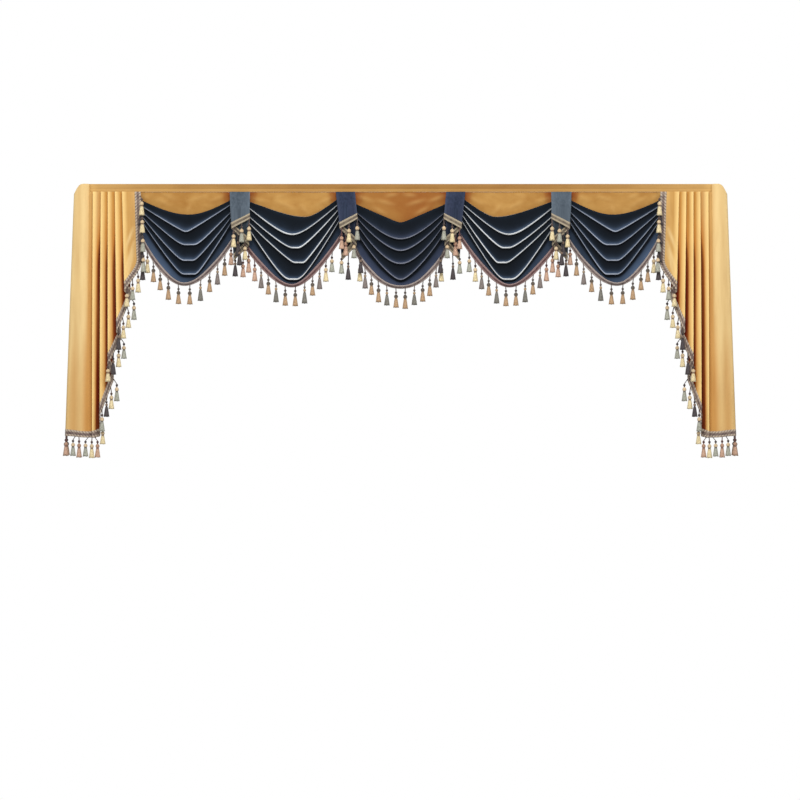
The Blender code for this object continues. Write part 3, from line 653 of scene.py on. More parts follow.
def swag_place(swag, side, look):
    """How a swag's cloth drapes on the left side, 1, or the right side, -1."""
    seed = SWAG_SEED + look
    left_glow, right_glow = HEM_GLOW[look]
    rows = swag_rows(swag)
    folds = swag[3]

    def tucked(index, across, middle):
        point = fold_point(swag, folds[index], across)
        point[1] += TUCK_DEPTH * blend(END_TUCK_SHARE, 1.0, middle)
        point[2] -= TUCK_DROP
        return point

    def place(across, down):
        turn = min(max(2.0 * across - 1.0, -1.0), 1.0)
        middle = (1.0 - turn * turn) ** BULGE_POWER

        def control(row):
            index, share, kind = rows[row]
            if kind == "top":
                return np.array((*fold_point(swag, folds[0], turn), 0.0, TOP_LINE, 0.0))
            if kind == "below top":
                point = fold_point(swag, folds[0], turn)
                point[2] -= TOP_ROLL * MM
                return np.array((*point, 0.0, 0.0, 0.0))
            if kind == "tuck":
                return np.array((*tucked(index, turn, middle), 1.0, 0.0, 0.0))
            if kind in ("hem", "hem band"):
                inner, outer = swag_braid_edges(swag, turn)
                crest = inner * (1.0 - STEP_INTO_BRAID) + outer * STEP_INTO_BRAID
            else:
                crest = fold_point(swag, folds[index], turn)
            if kind == "crest":
                return np.array((*crest, 0.0, 1.0, CREST_PAINTED_LIGHT))
            if kind == "hem":
                return np.array((*crest, HEM_SHADE, 0.0, 0.0))
            if index == 1:
                start = fold_point(swag, folds[0], turn)
            else:
                start = tucked(index - 1, turn, middle)
            way = crest - start
            if kind == "roll":
                share = 1.0 - CREST_ROLL * MM / max(np.linalg.norm(way), 2.0 * CREST_ROLL * MM)
                return np.array((*(start + way * share), 0.0, ROLL_LINE, ROLL_PAINTED_LIGHT * middle))
            point = start + way * share
            if kind == "hem band":
                free = 1.0 - smooth_step((share - FREE_END) / FREE_FADE)
                shade = HEM_BAND_SHADE
                side_share = smooth_step(HEM_GLOW_MIDDLE - HEM_GLOW_SLOPE * turn)
                glow = blend(right_glow, left_glow, side_share)
            else:
                free = 1.0
                shade = BAND_SHADE
                glow = middle ** 2 * smooth_step((share - BAND_GLOW_START) / BAND_GLOW_LENGTH)
                glow *= BAND_GLOW[look]
            crinkle = unevenness(point[0], point[2], (*CRINKLES, seed + index))
            point[1] += (SAG * math.sin(math.pi * share) + CRINKLE_HEIGHT * crinkle * free) * middle
            pull = unevenness(turn, index * PULLS_APART + share * PULLS_DOWN,
                              (PULLS_ALONG, 1.0, seed + PULL_SEED))
            point[1] += PULL_HEIGHT * pull * free
            return np.array((*point, shade * (1.0 - share), 0.0, glow))

        values = on_soft_line(control, len(rows), down * (len(rows) - 1))
        values[4] *= blend(END_LINE, 1.0, middle)
        values[0] *= side
        return values
    return place


NAVY = ((21, 30, 41), (12, 19, 27), (12, 19, 27), (5, 7, 12))
NAVY_TINT = (120, 140, 180)
NAVY_SHEEN = 0.015
NAVY_STREAK = (30.0, 30.0, 30.0)
# The colour of the painted highlight along the crest line, the colour of the painted light, and the
# span in which the line comes up; the three velvets differ only in these.
NAVY_LOOKS = (
    ("outer", (184, 192, 208), (72, 89, 114), (0.58, 0.70)),
    ("inner", (252, 255, 255), (72, 89, 114), (0.52, 0.70)),
    ("middle", (146, 150, 164), (60, 69, 92), (0.57, 0.72)),
)
swag_velvets = [
    velvet("navy_velvet_" + word, (*NAVY, edge, nap_and_painted_light), NAVY_TINT, NAVY_SHEEN, NAVY_STREAK, line)
    for word, edge, nap_and_painted_light, line in NAVY_LOOKS
]
SWAGS = (
    ("swag_1", OUTER_SWAG, 1, 0), ("swag_2", INNER_SWAG, 1, 1), ("swag_3", MIDDLE_SWAG, 1, 2),
    ("swag_4", INNER_SWAG, -1, 1), ("swag_5", OUTER_SWAG, -1, 0),
)
swags = {}
for name, swag, side, look in SWAGS:
    steps = (len(swag_rows(swag)) - 1) * ROW_STEPS
    swags[name] = make_cloth(
        name + "_cloth", SWAG_COLUMNS, steps, swag_place(swag, side, look), SWAG_THICKNESS)
    put_on(swags[name], name, "blue_velvet", swag_velvets[look])

# Tabs: each is one strip of velvet folded back and forth into three layers and sewn flat under the
# heading, over the join of two swags. Its slanting hem falls from layer to layer.
TAB_THICKNESS = 0.002
TAB_TOP_DROP = 0.0365
TAB_SPREAD_DROP = 0.085
TAB_LAYER_TOP = (-18, -13, -8)
TAB_LAYER_LOW = (-60, -43, -26)
TAB_LAYER_COLUMNS = 3
TAB_LAYER_INSET = 4.0
TAB_HEM_DROPS = (161, 206, 280, 348)
TAB_BRAID_RISE = (25, 27, 34, 30)
TAB_FINE_COLUMNS = 8
TAB_COLUMN_STEPS = 2
TAB_WAVE = 0.003
TAB_WAVES = 2.2
TAB_WAVE_START = 0.6
TAB_ROWS = 40
TAB_LAYER_SHADE = 0.35
TAB_FOLD_LINE = 0.5
TAB_NAP = 0.25
SLATE = ((84, 94, 104), (56, 65, 74), (56, 65, 74), (18, 23, 29), (110, 122, 134), (96, 107, 118))
SLATE_TINT = (150, 170, 200)
INK_BLUE = ((50, 60, 80), (30, 38, 54), (30, 38, 54), (10, 13, 21), (76, 84, 106), (58, 62, 86))
INK_TINT = (140, 150, 200)
TAB_SHEEN = 0.05
TAB_STREAK = (130.0, 130.0, 7.0)
# A tab: its sides at the top and at its front layer's hem, and its tassels by layer, x, tip's drop
# and kind.
OUTER_TAB = (-770, -677, -758, -674, (
    (0, -678, 256, "c"), (0, -711, 266, "g"), (0, -747, 292, "c"), (1, -732, 322, "d"),
    (1, -697, 345, "c"), (1, -720, 371, "d"), (2, -680, 396, "p"), (2, -705, 424, "p"),
    (2, -742, 416, "d"),
))
INNER_TAB = (-293, -205, -273, -192, (
    (0, -194, 254, "g"), (0, -231, 266, "c"), (0, -264, 300, "p"), (1, -246, 322, "p"),
    (1, -209, 338, "g"), (2, -204, 405, "d"), (2, -235, 428, "d"), (2, -266, 408, "g"),
))


def tab_columns(tab, per_layer):
    """The columns along a tab's cloth through its three layers."""
    columns = []
    for layer in range(len(TAB_LAYER_TOP)):
        for step in range(per_layer + 1):
            share = step / per_layer
            along = share if layer != 1 else 1.0 - share
            inset = blend(-1.0, 1.0, along) * TAB_LAYER_INSET * layer
            columns.append(np.array((
                blend(tab[1], tab[0], along) + inset, blend(tab[3], tab[2], along) + inset,
                TAB_LAYER_TOP[layer], TAB_LAYER_LOW[layer],
                blend(TAB_HEM_DROPS[layer], TAB_HEM_DROPS[layer + 1], share),
                blend(TAB_BRAID_RISE[layer], TAB_BRAID_RISE[layer + 1], share), layer)))
    return columns


def tab_point(column, drop):
    """A point of one column of a tab at a drop in metres."""
    fall = (drop - TAB_TOP_DROP) / (column[4] * MM - TAB_TOP_DROP)
    opened = smooth_step((drop - TAB_TOP_DROP) / TAB_SPREAD_DROP)
    x = blend(column[0], column[1], fall)
    y = blend(column[2], column[3], opened)
    return np.array((x * MM, y * MM, -drop))


def tab_surface(tab, across, drop_of):
    """Where a tab's cloth is at the drop that drop_of gives for a column, with its soft waves,
    painted shade on its back layers and a painted highlight along its folds.
    """
    columns = tab_columns(tab, TAB_FINE_COLUMNS)

    def control(index):
        column = columns[index]
        drop = drop_of(column)
        point = tab_point(column, drop)
        turn = index % (TAB_FINE_COLUMNS + 1) / TAB_FINE_COLUMNS
        wave = math.sin(turn * TAB_WAVES * math.pi + TAB_WAVE_START) * math.sin(math.pi * turn)
        wave *= smooth_step((drop - TAB_TOP_DROP) / TAB_SPREAD_DROP)
        point[1] += TAB_WAVE * wave
        edge = TAB_FOLD_LINE if turn in (0.0, 1.0) else 0.0
        return np.array((*point, TAB_LAYER_SHADE * column[6], edge, TAB_NAP * (1.0 + wave)))

    return on_soft_line(control, len(columns), across * (len(columns) - 1))


def tab_place(tab, side):
    """How a tab's cloth is folded on the left side, 1, or the right side, -1."""
    def place(across, down):
        values = tab_surface(tab, across, lambda column: blend(
            TAB_TOP_DROP, (column[4] - (1.0 - STEP_INTO_BRAID) * column[5]) * MM, down))
        values[0] *= side
        return values
    return place


slate_velvet = velvet("slate_velvet", SLATE, SLATE_TINT, TAB_SHEEN, TAB_STREAK)
ink_velvet = velvet("ink_blue_velvet", INK_BLUE, INK_TINT, TAB_SHEEN, TAB_STREAK)
TABS = (
    ("tab_1", OUTER_TAB, 1, "slate_velvet", slate_velvet),
    ("tab_2", INNER_TAB, 1, "blue_velvet", ink_velvet),
    ("tab_3", INNER_TAB, -1, "blue_velvet", ink_velvet),
    ("tab_4", OUTER_TAB, -1, "slate_velvet", slate_velvet),
)
tabs = {}
for name, tab, side, slot, finish in TABS:
    steps = (len(tab_columns(tab, TAB_FINE_COLUMNS)) - 1) * TAB_COLUMN_STEPS
    tabs[name] = make_cloth(name + "_cloth", steps, TAB_ROWS, tab_place(tab, side), TAB_THICKNESS)
    put_on(tabs[name], name, slot, finish)

# Braid: woven gimp, three raised cords side by side, two pale ones at its edges and a brown one
# between, sewn round every hem so that it shows on both faces of the cloth.
BRAID_THICKNESS = 0.0034
BRAID_GAP = 0.002
BRAID_CORDS = 3
BRAID_ROWS = 12
CORD_HEIGHT = 0.0009
COURSE_STEP = 0.004
SMALLEST = 1e-12
SWAG_BRAID_COLUMNS = 15
SWAG_BRAID_CELLS, TAB_BRAID_CELLS, TAIL_BRAID_CELLS = 72, 78, 220
TAIL_BRAID_WIDTH = 0.023
EDGE_BRAID_ROWS = 7
CORNER_DROP = 0.012
CORNER_STEP = 0.0006
OVERLAP = 0.004
# Across a braid: where its edge cords end and its middle cord begins, from one edge to the other.
CORD_STOPS = (0.0, 0.24, 0.34, 0.66, 0.76, 1.0)
TWIST_SCALE = 0.3
TWIST_WANDER = 1.5
TWIST_REACH = (0.0, 0.6)
TWIST_DEPTH = 0.001
TWIST_DARK = 0.35
WORN_SCALE = 60.0
WORN_REACH = (0.4, 0.7)
WORN_SHARE = 0.35
GIMP_ROUGHNESS = (0.55, 0.8)
GIMP_SHEEN = 0.2
# Each gimp's edge cords, its middle cord, how close its twist is along and across, and its shadow.
GIMPS = (
    ("swag_gimp", (172, 158, 150), (84, 60, 58), (300.0, 6.0), 0.6),
    ("inner_swag_gimp", (156, 128, 124), (84, 46, 46), (300.0, 6.0), 0.6),
    ("tab_gimp", (174, 160, 134), (94, 80, 66), (400.0, 6.0), 0.5),
    ("tail_gimp", (188, 170, 150), (108, 86, 80), (150.0, 3.5), 0.85),
)


def gimp(name, edge_colour, centre_colour, twist_scale, shadow_share):
    """Gimp braid: pale twisted cords at both edges and a dark one between them."""
    edge, centre = srgb(*edge_colour), srgb(*centre_colour)
    material, tree, shader = new_finish(name)
    run = tree.nodes.new("ShaderNodeUVMap")
    run.uv_map = "run"
    width = add_node(tree, "SeparateXYZ", Vector=run.outputs["UV"]).outputs["Y"]
    cords = tree.nodes.new("ShaderNodeValToRGB")
    tree.links.new(width, cords.inputs["Fac"])
    stops = cords.color_ramp.elements
    while len(stops) < len(CORD_STOPS):
        stops.new(0.5)
    for stop, place, colour in zip(stops, CORD_STOPS, (edge, edge, centre, centre, edge, edge)):
        stop.position = place
        stop.color = (*colour, 1.0)
    turned = add_node(tree, "Mapping", Vector=run.outputs["UV"], Scale=(*twist_scale, 1.0))
    twist = add_node(tree, "TexWave", Vector=turned.outputs["Vector"], Scale=TWIST_SCALE,
                     Distortion=TWIST_WANDER)
    twist.bands_direction = "DIAGONAL"
    worn = add_noise(tree, WORN_SCALE, (1.0, 1.0, 1.0), 3.0)
    between = spread(tree, twist.outputs["Fac"], *TWIST_REACH, shadow_share, 0.0)
    shadow = mix_colours(tree, between, cords.outputs["Color"],
                         tuple(value * TWIST_DARK for value in centre))
    colour = mix_colours(tree, spread(tree, worn, *WORN_REACH, 0.0, WORN_SHARE), shadow, edge)
    tree.links.new(colour, shader.inputs["Base Color"])
    tree.links.new(spread(tree, worn, *PILE_REACH, *GIMP_ROUGHNESS), shader.inputs["Roughness"])
    raised = add_node(tree, "Bump", Height=twist.outputs["Fac"], Strength=0.6,
                      Distance=TWIST_DEPTH)
    tree.links.new(raised.outputs["Normal"], shader.inputs["Normal"])
    shader.inputs["Sheen Weight"].default_value = GIMP_SHEEN
    return material


def make_braid(name, edges, cells, side, finish):
    """A braid between the inner and outer edge of edges(share); its twist keeps one pitch."""
    def place(across, down):
        inner, outer = edges(across)
        before = edges(max(across - COURSE_STEP, 0.0))
        after = edges(min(across + COURSE_STEP, 1.0))
        face = np.cross(outer - inner, (after[0] + after[1]) - (before[0] + before[1]))
        face /= max(np.linalg.norm(face), SMALLEST)
        raised = CORD_HEIGHT * (abs(math.sin(BRAID_CORDS * math.pi * down)) - 0.5)
        point = inner + (outer - inner) * down - face * raised
        return point[0] * side, point[1], point[2], 0.0, 0.0, 0.0

    ways = [0.0]
    for step in range(cells):
        cell = edges((step + 1) / cells)[1] - edges(step / cells)[1]
        ways.append(ways[-1] + np.linalg.norm(cell))
    braid = make_cloth(name + "_braid_woven", cells, BRAID_ROWS, place, BRAID_THICKNESS)
    for corner in braid.data.uv_layers["run"].data:
        corner.uv.x = ways[round(corner.uv.x * cells)]
    put_on(braid, name + "_braid", "braid", finish)
    return braid


def swag_edges(swag):
    """The course of the braid along a swag's hem."""
    return lambda share: swag_braid_edges(swag, 2.0 * share - 1.0)


def tab_edges(tab):
    """The course of the braid round a tab's hem, on the tab's own waves."""
    def edges(share):
        inner = tab_surface(tab, share, lambda column: (column[4] - column[5]) * MM)
        outer = tab_surface(tab, share, lambda column: column[4] * MM)
        return inner[:3], outer[:3]
    return edges


def tail_edges(pairs):
    """The course of the braid round a tail, led by its edge points and lying on its creases."""
    joined = [np.concatenate(pair) for pair in pairs]

    def edges(share):
        both = on_soft_line(lambda index: joined[index], len(joined), share * (len(joined) - 1))
        for start in (0, 3):
            both[start + 1] += tail_lift(both[start] / MM, -both[start + 2] / MM)[0]
        return both[:3], both[3:]
    return edges


def hem_pair(point_of, column):
    """The inner and outer edge of the braid at the hem of one column of a cloth."""
    return point_of(column, (column[4] - column[5]) * MM), point_of(column, column[4] * MM)


def swag_braid_pairs(swag):
    """The braid's edge points along a swag, where its solid has them."""
    along = swag_edges(swag)
    return [along(column / (SWAG_BRAID_COLUMNS - 1)) for column in range(SWAG_BRAID_COLUMNS)]


def tab_braid_pairs(tab):
    """The same round a tab's falling hem."""
    return [hem_pair(tab_point, column) for column in tab_columns(tab, TAB_LAYER_COLUMNS)]


def tail_braid_pairs(overlap=0.0):
    """The same down a tail's inner edge, where it laps over the cloth, and round its hem."""
    edge = TAIL_COLUMNS[0]
    corner = tail_point(edge, (edge[4] - edge[5]) * MM)
    pairs = []
    for row in range(EDGE_BRAID_ROWS):
        inner = tail_point(edge, blend(PLEAT_TOP_DROP, -corner[2], row / EDGE_BRAID_ROWS))
        outer = inner + np.array((BRAID_GAP + TAIL_BRAID_WIDTH, 0.0, 0.0))
        inner[0] += BRAID_GAP - overlap
        pairs.append((inner, outer))
    outer = corner + np.array((TAIL_BRAID_WIDTH + BRAID_GAP, 0.0, -CORNER_DROP))
    pairs.append((corner + np.array((BRAID_GAP, 0.0, -CORNER_STEP)), outer))
    return pairs + [hem_pair(tail_point, column) for column in TAIL_COLUMNS[1:]]


swag_gimp, inner_gimp, tab_gimp, tail_gimp = (gimp(*look) for look in GIMPS)
for name, swag, side, look in SWAGS:
    make_braid(name, swag_edges(swag), SWAG_BRAID_CELLS, side,
                              inner_gimp if look == 1 else swag_gimp)
for name, tab, side, slot, finish in TABS:
    make_braid(name, tab_edges(tab), TAB_BRAID_CELLS, side, tab_gimp)
for name, side in TAILS:
    make_braid(name, tail_edges(tail_braid_pairs(OVERLAP)), TAIL_BRAID_CELLS, side,
                              tail_gimp)

# Tassels: a twisted string with a small bead, a bound head and a full skirt of cut thread, hung
# in a row from the braid. They come in a few colour pairings, which take turns along each hem.
TASSEL_SIDES = 12
STRING_SIDES = 5
STRING_RADIUS = 1.2
TWIST_RADIUS = 2.3
STRING_LENGTH = 0.014
BODY_LENGTH = 0.074
LENGTH_CHANGE = 0.004
CHANGE_PITCH = 2.3
CHANGE_START = 0.7
ROOT_DEPTH = 0.005
TASSEL_CLEARANCE = 0.002
SHIFT_STEP = 0.003
SHIFT_DIRECTIONS = ((0.0, -1.0), (0.7, -0.7), (-0.7, -0.7), (1.0, 0.0))
SHIFT_TRIES = 14
CLEAR_STEPS = 24
HEM_STEPS = 400
COURSE_STEPS = 600
# A plain tassel's rings, radius and depth in millimetres, by which the tassels are kept apart.
PLAIN_BODY = ((STRING_RADIUS, 0.0), (6.0, 6.0), (2.2, 14.0), (9.0, 27.0), (12.2, 74.0))
# A tassel's parts are 0 bead, 1 head, 2 binding and 3 skirt, and -1 once they are in place.
SKIRT = 3
PLACED = -1
# Each ring's radius and depth in millimetres, and its part.
ROUND_HEAD = (
    (1.2, 0, 0), (4.6, 2, 0), (6.0, 6, 0), (4.2, 10, 0), (2.1, 12.5, 0), (3.0, 14.5, 1),
    (7.2, 18, 1), (9.2, 23, 1), (8.2, 28, 1), (5.8, 31, 2), (6.0, 33, 2), (7.6, 38, 3),
    (10.0, 52, 3), (12.2, 66, 3), (13.6, 74, 3), (9.0, 72, 3), (0.0, 71, 3),
)
TWO_BEADS = (
    (1.2, 0, 0), (4.2, 2, 0), (5.6, 5.5, 0), (4.2, 9, 0), (2.1, 11.5, 2), (4.6, 14, 1),
    (6.4, 18, 1), (5.4, 22, 1), (3.6, 25, 2), (5.0, 27, 2), (6.8, 32, 3), (8.4, 40, 3),
    (10.6, 54, 3), (12.4, 66, 3), (13.6, 74, 3), (9.0, 72, 3), (0.0, 71, 3),
)
SKIRT_MIDDLE = 0.001
THREAD_SWELL = (0.94, 1.03)
RAGGED_HEM = 0.0014
RAGGED_PITCH = 2.4
RAGGED_START = 0.06
RAGGED_LENGTH = 0.01
MERGE = 0.00001
# The thread's strands, how far the painted shade of the gaps stands between them, and how they
# shine.
STRANDS = (900.0, 900.0, 50.0)
STRAND_REACH = (0.35, 0.62)
STRAND_ROUGHNESS = (0.75, 0.5)
STRAND_DEPTH = 0.0008
GAP_RICHNESS = 1.15
GAP_BRIGHTNESS = 0.45
THREAD_SHEEN = 0.25
# Form, then the colours of the string and bead, head, binding and skirt.
TASSEL_KINDS = {
    "a": (ROUND_HEAD, (92, 80, 74), (96, 84, 72), (150, 122, 92), (196, 160, 122)),
    "b": (TWO_BEADS, (116, 100, 90), (188, 156, 118), (108, 98, 88), (126, 122, 112)),
    "B": (TWO_BEADS, (108, 94, 88), (168, 144, 116), (96, 88, 84), (136, 124, 118)),
    "c": (ROUND_HEAD, (84, 62, 54), (232, 206, 166), (132, 98, 74), (246, 226, 178)),
    "g": (ROUND_HEAD, (70, 54, 50), (234, 206, 166), (92, 82, 74), (178, 178, 162)),
    "p": (ROUND_HEAD, (92, 50, 46), (196, 154, 128), (130, 88, 76), (214, 174, 148)),
    "d": (TWO_BEADS, (46, 28, 28), (132, 108, 90), (36, 26, 26), (66, 56, 58)),
}


def length_change(index):
    """Small unevenness from tassel to tassel, in metres."""
    return LENGTH_CHANGE * math.sin(CHANGE_PITCH * index + CHANGE_START)


def radius_at(depth):
    """A plain tassel body's radius at a depth below its bead's top, in metres."""
    for before, after in zip(PLAIN_BODY, PLAIN_BODY[1:]):
        if before[1] <= depth / MM <= after[1]:
            share = (depth / MM - before[1]) / (after[1] - before[1])
            return blend(before[0], after[0], share) * MM
    return 0.0


def stands_clear(body, other):
    """Whether two hanging bodies, each given by its bead's top, keep apart at every height."""
    apart = math.hypot(body[0] - other[0], body[1] - other[1])
    for step in range(CLEAR_STEPS + 1):
        depth = (BODY_LENGTH + LENGTH_CHANGE) * step / CLEAR_STEPS
        reach, reach_other = radius_at(depth), radius_at(depth + other[2] - body[2])
        if reach > 0.0 and reach_other > 0.0 and apart < reach + reach_other + TASSEL_CLEARANCE:
            return False
    return True


hung = []


def hang_clear(hang, string):
    """The wanted place of a tassel, moved a little until it stands clear of those hung before."""
    top = hang - np.array((0.0, 0.0, string))
    for step in range(SHIFT_TRIES):
        for along_x, along_y in SHIFT_DIRECTIONS:
            shift = np.array((along_x, along_y, 0.0)) * SHIFT_STEP * step
            if all(stands_clear(top + shift, other) for other in hung):
                hung.append(top + shift)
                return hang + shift
    hung.append(top)
    return hang


def point_at(pairs, axis, value):
    """The braid's edge points where its outer edge first has the wanted x, y or height."""
    for before, after in zip(pairs, pairs[1:]):
        low, high = before[1][axis], after[1][axis]
        if low != high and min(low, high) <= value <= max(low, high):
            share = (value - low) / (high - low)
            return tuple(blend(start, end, share) for start, end in zip(before, after))
    return min((pairs[0], pairs[-1]), key=lambda pair: abs(pair[1][axis] - value))


def root_in(inner, outer):
    """Where a string goes into the braid, a little inside its outer edge."""
    return outer + (inner - outer) / np.linalg.norm(inner - outer) * ROOT_DEPTH


def swag_tassels(swag):
    """The tassels of a swag, an equal way apart along its hem."""
    pairs = swag_braid_pairs(swag)
    steps = range(HEM_STEPS + 1)
    hem = [fold_point(swag, swag[3][-1], 2.0 * step / HEM_STEPS - 1.0) for step in steps]
    ways = [0.0]
    for before, after in zip(hem, hem[1:]):
        ways.append(ways[-1] + math.hypot(after[0] - before[0], after[2] - before[2]))
    start = min(steps, key=lambda step: abs(hem[step][0] - swag[4] * MM))
    stop = min(steps, key=lambda step: abs(hem[step][0] - swag[5] * MM))
    tassels = []
    for index, kind in enumerate(swag[6]):
        way = blend(ways[start], ways[stop], index / (len(swag[6]) - 1))
        nearest = min(steps, key=lambda step: abs(ways[step] - way))
        inner, outer = point_at(pairs, 0, hem[nearest][0])
        hang = hang_clear(outer, STRING_LENGTH)
        tassels.append((root_in(inner, outer), hang, STRING_LENGTH, length_change(index), kind))
    return tassels


def tab_tassels(tab):
    """The tassels of a tab, layer by layer."""
    pairs = tab_braid_pairs(tab)
    tassels = []
    for index, (layer, x, tip, kind) in enumerate(tab[4]):
        first = layer * (TAB_LAYER_COLUMNS + 1)
        inner, outer = point_at(pairs[first:first + TAB_LAYER_COLUMNS + 1], 0, x * MM)
        string = tip * MM + outer[2] - BODY_LENGTH
        hang = hang_clear(outer, string)
        tassels.append((root_in(inner, outer), hang, string, length_change(index), kind))
    return tassels


# The tassels down a tail's inner edge hang in two lanes, each by its lean to the side and forwards.
EDGE_FIRST_DROP = 0.056
EDGE_PITCH = 0.042
EDGE_LANES = ((0.009, -0.024), (0.002, -0.002))
EDGE_FORWARD = -0.042
EDGE_KINDS = "cdcdgdgd"
# Those down its steps are given by drop, those along its bottom by x, those on its return by y.
STEP_DROPS = (400, 436, 470, 520, 562, 610, 656, 702, 735, 768, 806, 886, 924, 962, 1020, 1084)
STEP_LEAN = (0.014, -0.008, 0.0)
STEP_KINDS = "cgcgccdgcdcgcdgc"
BOTTOM_COLUMNS = 14
HEM_TASSEL_X = (-1361, -1375, -1397, -1442, -1458, -1503)
HEM_KINDS = "cpgpgp"
RETURN_COLUMNS = 3
RETURN_TASSEL_Y = (30, 75)
RETURN_KINDS = "aa"


def tail_tassels():
    """The tassels of a tail: down its inner edge and its steps, along its bottom and its return."""
    pairs = tail_braid_pairs()
    tassels = []

    def hang_at(index, kind, inner, outer, hang):
        root = root_in(inner, outer)
        tassels.append((root, hang, STRING_LENGTH, length_change(index), kind))

    for index, kind in enumerate(EDGE_KINDS):
        inner, outer = point_at(pairs, 2, -(EDGE_FIRST_DROP + EDGE_PITCH * index))
        aside, forwards = EDGE_LANES[index % len(EDGE_LANES)]
        hang = np.array((outer[0] + aside, min(outer[1], EDGE_FORWARD) + forwards, outer[2]))
        hung.append(hang - np.array((0.0, 0.0, STRING_LENGTH)))
        hang_at(index, kind, inner, outer, hang)
    for index, (drop, kind) in enumerate(zip(STEP_DROPS, STEP_KINDS)):
        inner, outer = point_at(pairs, 2, -drop * MM)
        hang = hang_clear(outer + np.array(STEP_LEAN), STRING_LENGTH)
        hang_at(index, kind, inner, outer, hang)
    for index, (x, kind) in enumerate(zip(HEM_TASSEL_X, HEM_KINDS)):
        inner, outer = point_at(pairs[-BOTTOM_COLUMNS:], 0, x * MM)
        hang_at(index, kind, inner, outer, hang_clear(outer, STRING_LENGTH))
    for index, (y, kind) in enumerate(zip(RETURN_TASSEL_Y, RETURN_KINDS)):
        inner, outer = point_at(pairs[-RETURN_COLUMNS:], 1, y * MM)
        hang_at(index, kind, inner, outer, outer)
    return tassels


def tassel_pattern(name, rings):
    """One tassel's body: its rings turned round, with the skirt drawn into ridges of thread."""
    bm = bmesh.new()
    part = bm.verts.layers.int.new("part")
    profile = [bm.verts.new((radius * MM, 0.0, -depth * MM)) for radius, depth, _ in rings]
    for vert, ring in zip(profile, rings):
        vert[part] = ring[2]
    edges = [bm.edges.new(pair) for pair in zip(profile, profile[1:])]
    bmesh.ops.spin(bm, geom=profile + edges, cent=(0, 0, 0), axis=(0, 0, 1), dvec=(0, 0, 0),
                   angle=math.tau, steps=TASSEL_SIDES, use_merge=True, use_duplicate=False)
    bmesh.ops.remove_doubles(bm, verts=bm.verts, dist=MERGE)
    bmesh.ops.recalc_face_normals(bm, faces=bm.faces)
    for vert in bm.verts:
        if vert[part] == SKIRT and vert.co.xy.length > SKIRT_MIDDLE:
            turn = round(math.atan2(vert.co.y, vert.co.x) / math.tau * TASSEL_SIDES)
            vert.co.x *= THREAD_SWELL[turn % 2]
            vert.co.y *= THREAD_SWELL[turn % 2]
            cut = smooth_step((-vert.co.z - RAGGED_START) / RAGGED_LENGTH)
            vert.co.z -= RAGGED_HEM * math.sin(turn * RAGGED_PITCH) * cut
    for face in bm.faces:
        face.smooth = True
    mesh = bpy.data.meshes.new(name)
    bm.to_mesh(mesh)
    bm.free()
    return mesh


tassel_patterns = {ROUND_HEAD: tassel_pattern("round_head_tassel", ROUND_HEAD),
                   TWO_BEADS: tassel_pattern("two_bead_tassel", TWO_BEADS)}


def thread_finish():
    """Cut rayon thread: fine upright strands with a soft shine and painted shade in the gaps
    between them, in the colours a tassel carries.
    """
    material, tree, shader = new_finish("tassel_thread")
    dye = tree.nodes.new("ShaderNodeAttribute")
    dye.attribute_name = "dye"
    strands = add_noise(tree, 1.0, STRANDS, 2.0)
    strand_gap_shade = add_node(tree, "HueSaturation", Color=dye.outputs["Color"], Saturation=GAP_RICHNESS,
                   Value=GAP_BRIGHTNESS)
    colour = mix_colours(tree, spread(tree, strands, *STRAND_REACH), strand_gap_shade.outputs["Color"],
                         dye.outputs["Color"])
    rough = spread(tree, strands, *PILE_REACH, *STRAND_ROUGHNESS)
    raised = add_node(tree, "Bump", Height=strands, Strength=0.5, Distance=STRAND_DEPTH)
    tree.links.new(colour, shader.inputs["Base Color"])
    tree.links.new(rough, shader.inputs["Roughness"])
    tree.links.new(raised.outputs["Normal"], shader.inputs["Normal"])
    shader.inputs["Sheen Weight"].default_value = THREAD_SHEEN
    return material


thread = thread_finish()


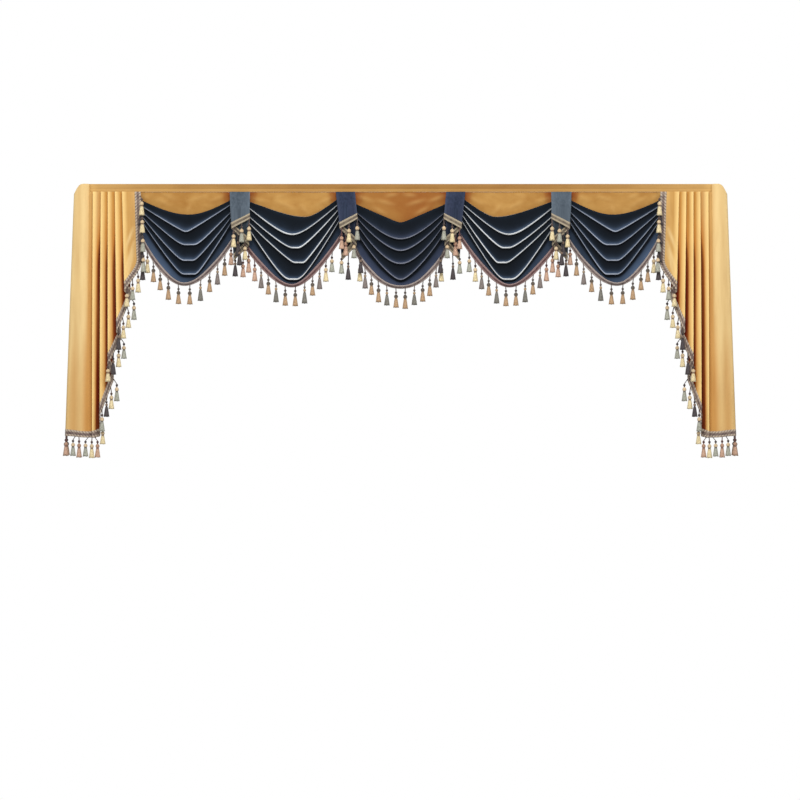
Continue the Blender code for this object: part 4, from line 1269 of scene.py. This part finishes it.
def make_tassels(name, tassels, edges, side):
    """All the tassels of one braid as one piece: the strings start in the braid's real edge."""
    course = [edges(step / COURSE_STEPS) for step in range(COURSE_STEPS + 1)]
    bm = bmesh.new()
    dye = bm.verts.layers.float_color.new("dye")
    part = bm.verts.layers.int.new("part")
    for root, hang, string, change, kind in tassels:
        rings, *colours = TASSEL_KINDS[kind]
        inner, outer = min(course, key=lambda pair: np.linalg.norm(pair[1] - root))
        start = root_in(inner, outer)
        top = hang - np.array((0.0, 0.0, string))
        string_ends = bmesh.ops.create_cone(
            bm, cap_ends=True, segments=STRING_SIDES, radius1=TWIST_RADIUS * MM,
            radius2=TWIST_RADIUS * MM, depth=1.0)
        for vert in string_ends["verts"]:
            centre = start if vert.co.z > 0.0 else top
            vert.co = (vert.co.x + centre[0], vert.co.y + centre[1], centre[2])
            vert[dye] = (*srgb(*colours[0]), 1.0)
            vert[part] = PLACED
        bm.from_mesh(tassel_patterns[rings])
        stretch = 1.0 + change / BODY_LENGTH
        for vert in [vert for vert in bm.verts if vert[part] != PLACED]:
            vert.co = (vert.co.x + top[0], vert.co.y + top[1], vert.co.z * stretch + top[2])
            vert[dye] = (*srgb(*colours[vert[part]]), 1.0)
            vert[part] = PLACED
    for vert in bm.verts:
        vert.co.x *= side
    if side < 0:
        bmesh.ops.reverse_faces(bm, faces=bm.faces)
    mesh = bpy.data.meshes.new(name)
    bm.to_mesh(mesh)
    bm.free()
    piece = bpy.data.objects.new(name, mesh)
    bpy.context.scene.collection.objects.link(piece)
    mesh.materials.append(thread)
    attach(piece, "root")
    return piece


swag_rows_of_tassels = [swag_tassels(swag) for swag in (OUTER_SWAG, INNER_SWAG, MIDDLE_SWAG)]
outer_tab_row, inner_tab_row = tab_tassels(OUTER_TAB), tab_tassels(INNER_TAB)
tail_row = tail_tassels()
# The tassels are hung here. Each cut's width, length and area follow the hung cloth, in metres
# and square metres.
TAB_CUTS = ((0.26, 0.30, 0.0505), (0.25, 0.30, 0.0484))
for name, swag, side, look in SWAGS:
    tassels = make_tassels(name + "_tassels", swag_rows_of_tassels[look], swag_edges(swag), side)
for name, tab, side, slot, finish in TABS:
    row, cut = (outer_tab_row, TAB_CUTS[0]) if tab is OUTER_TAB else (inner_tab_row, TAB_CUTS[1])
    tassels = make_tassels(name + "_tassels", row, tab_edges(tab), side)
for name, side in TAILS:
    tassels = make_tassels(name + "_tassels", tail_row, tail_edges(tail_braid_pairs()), side)
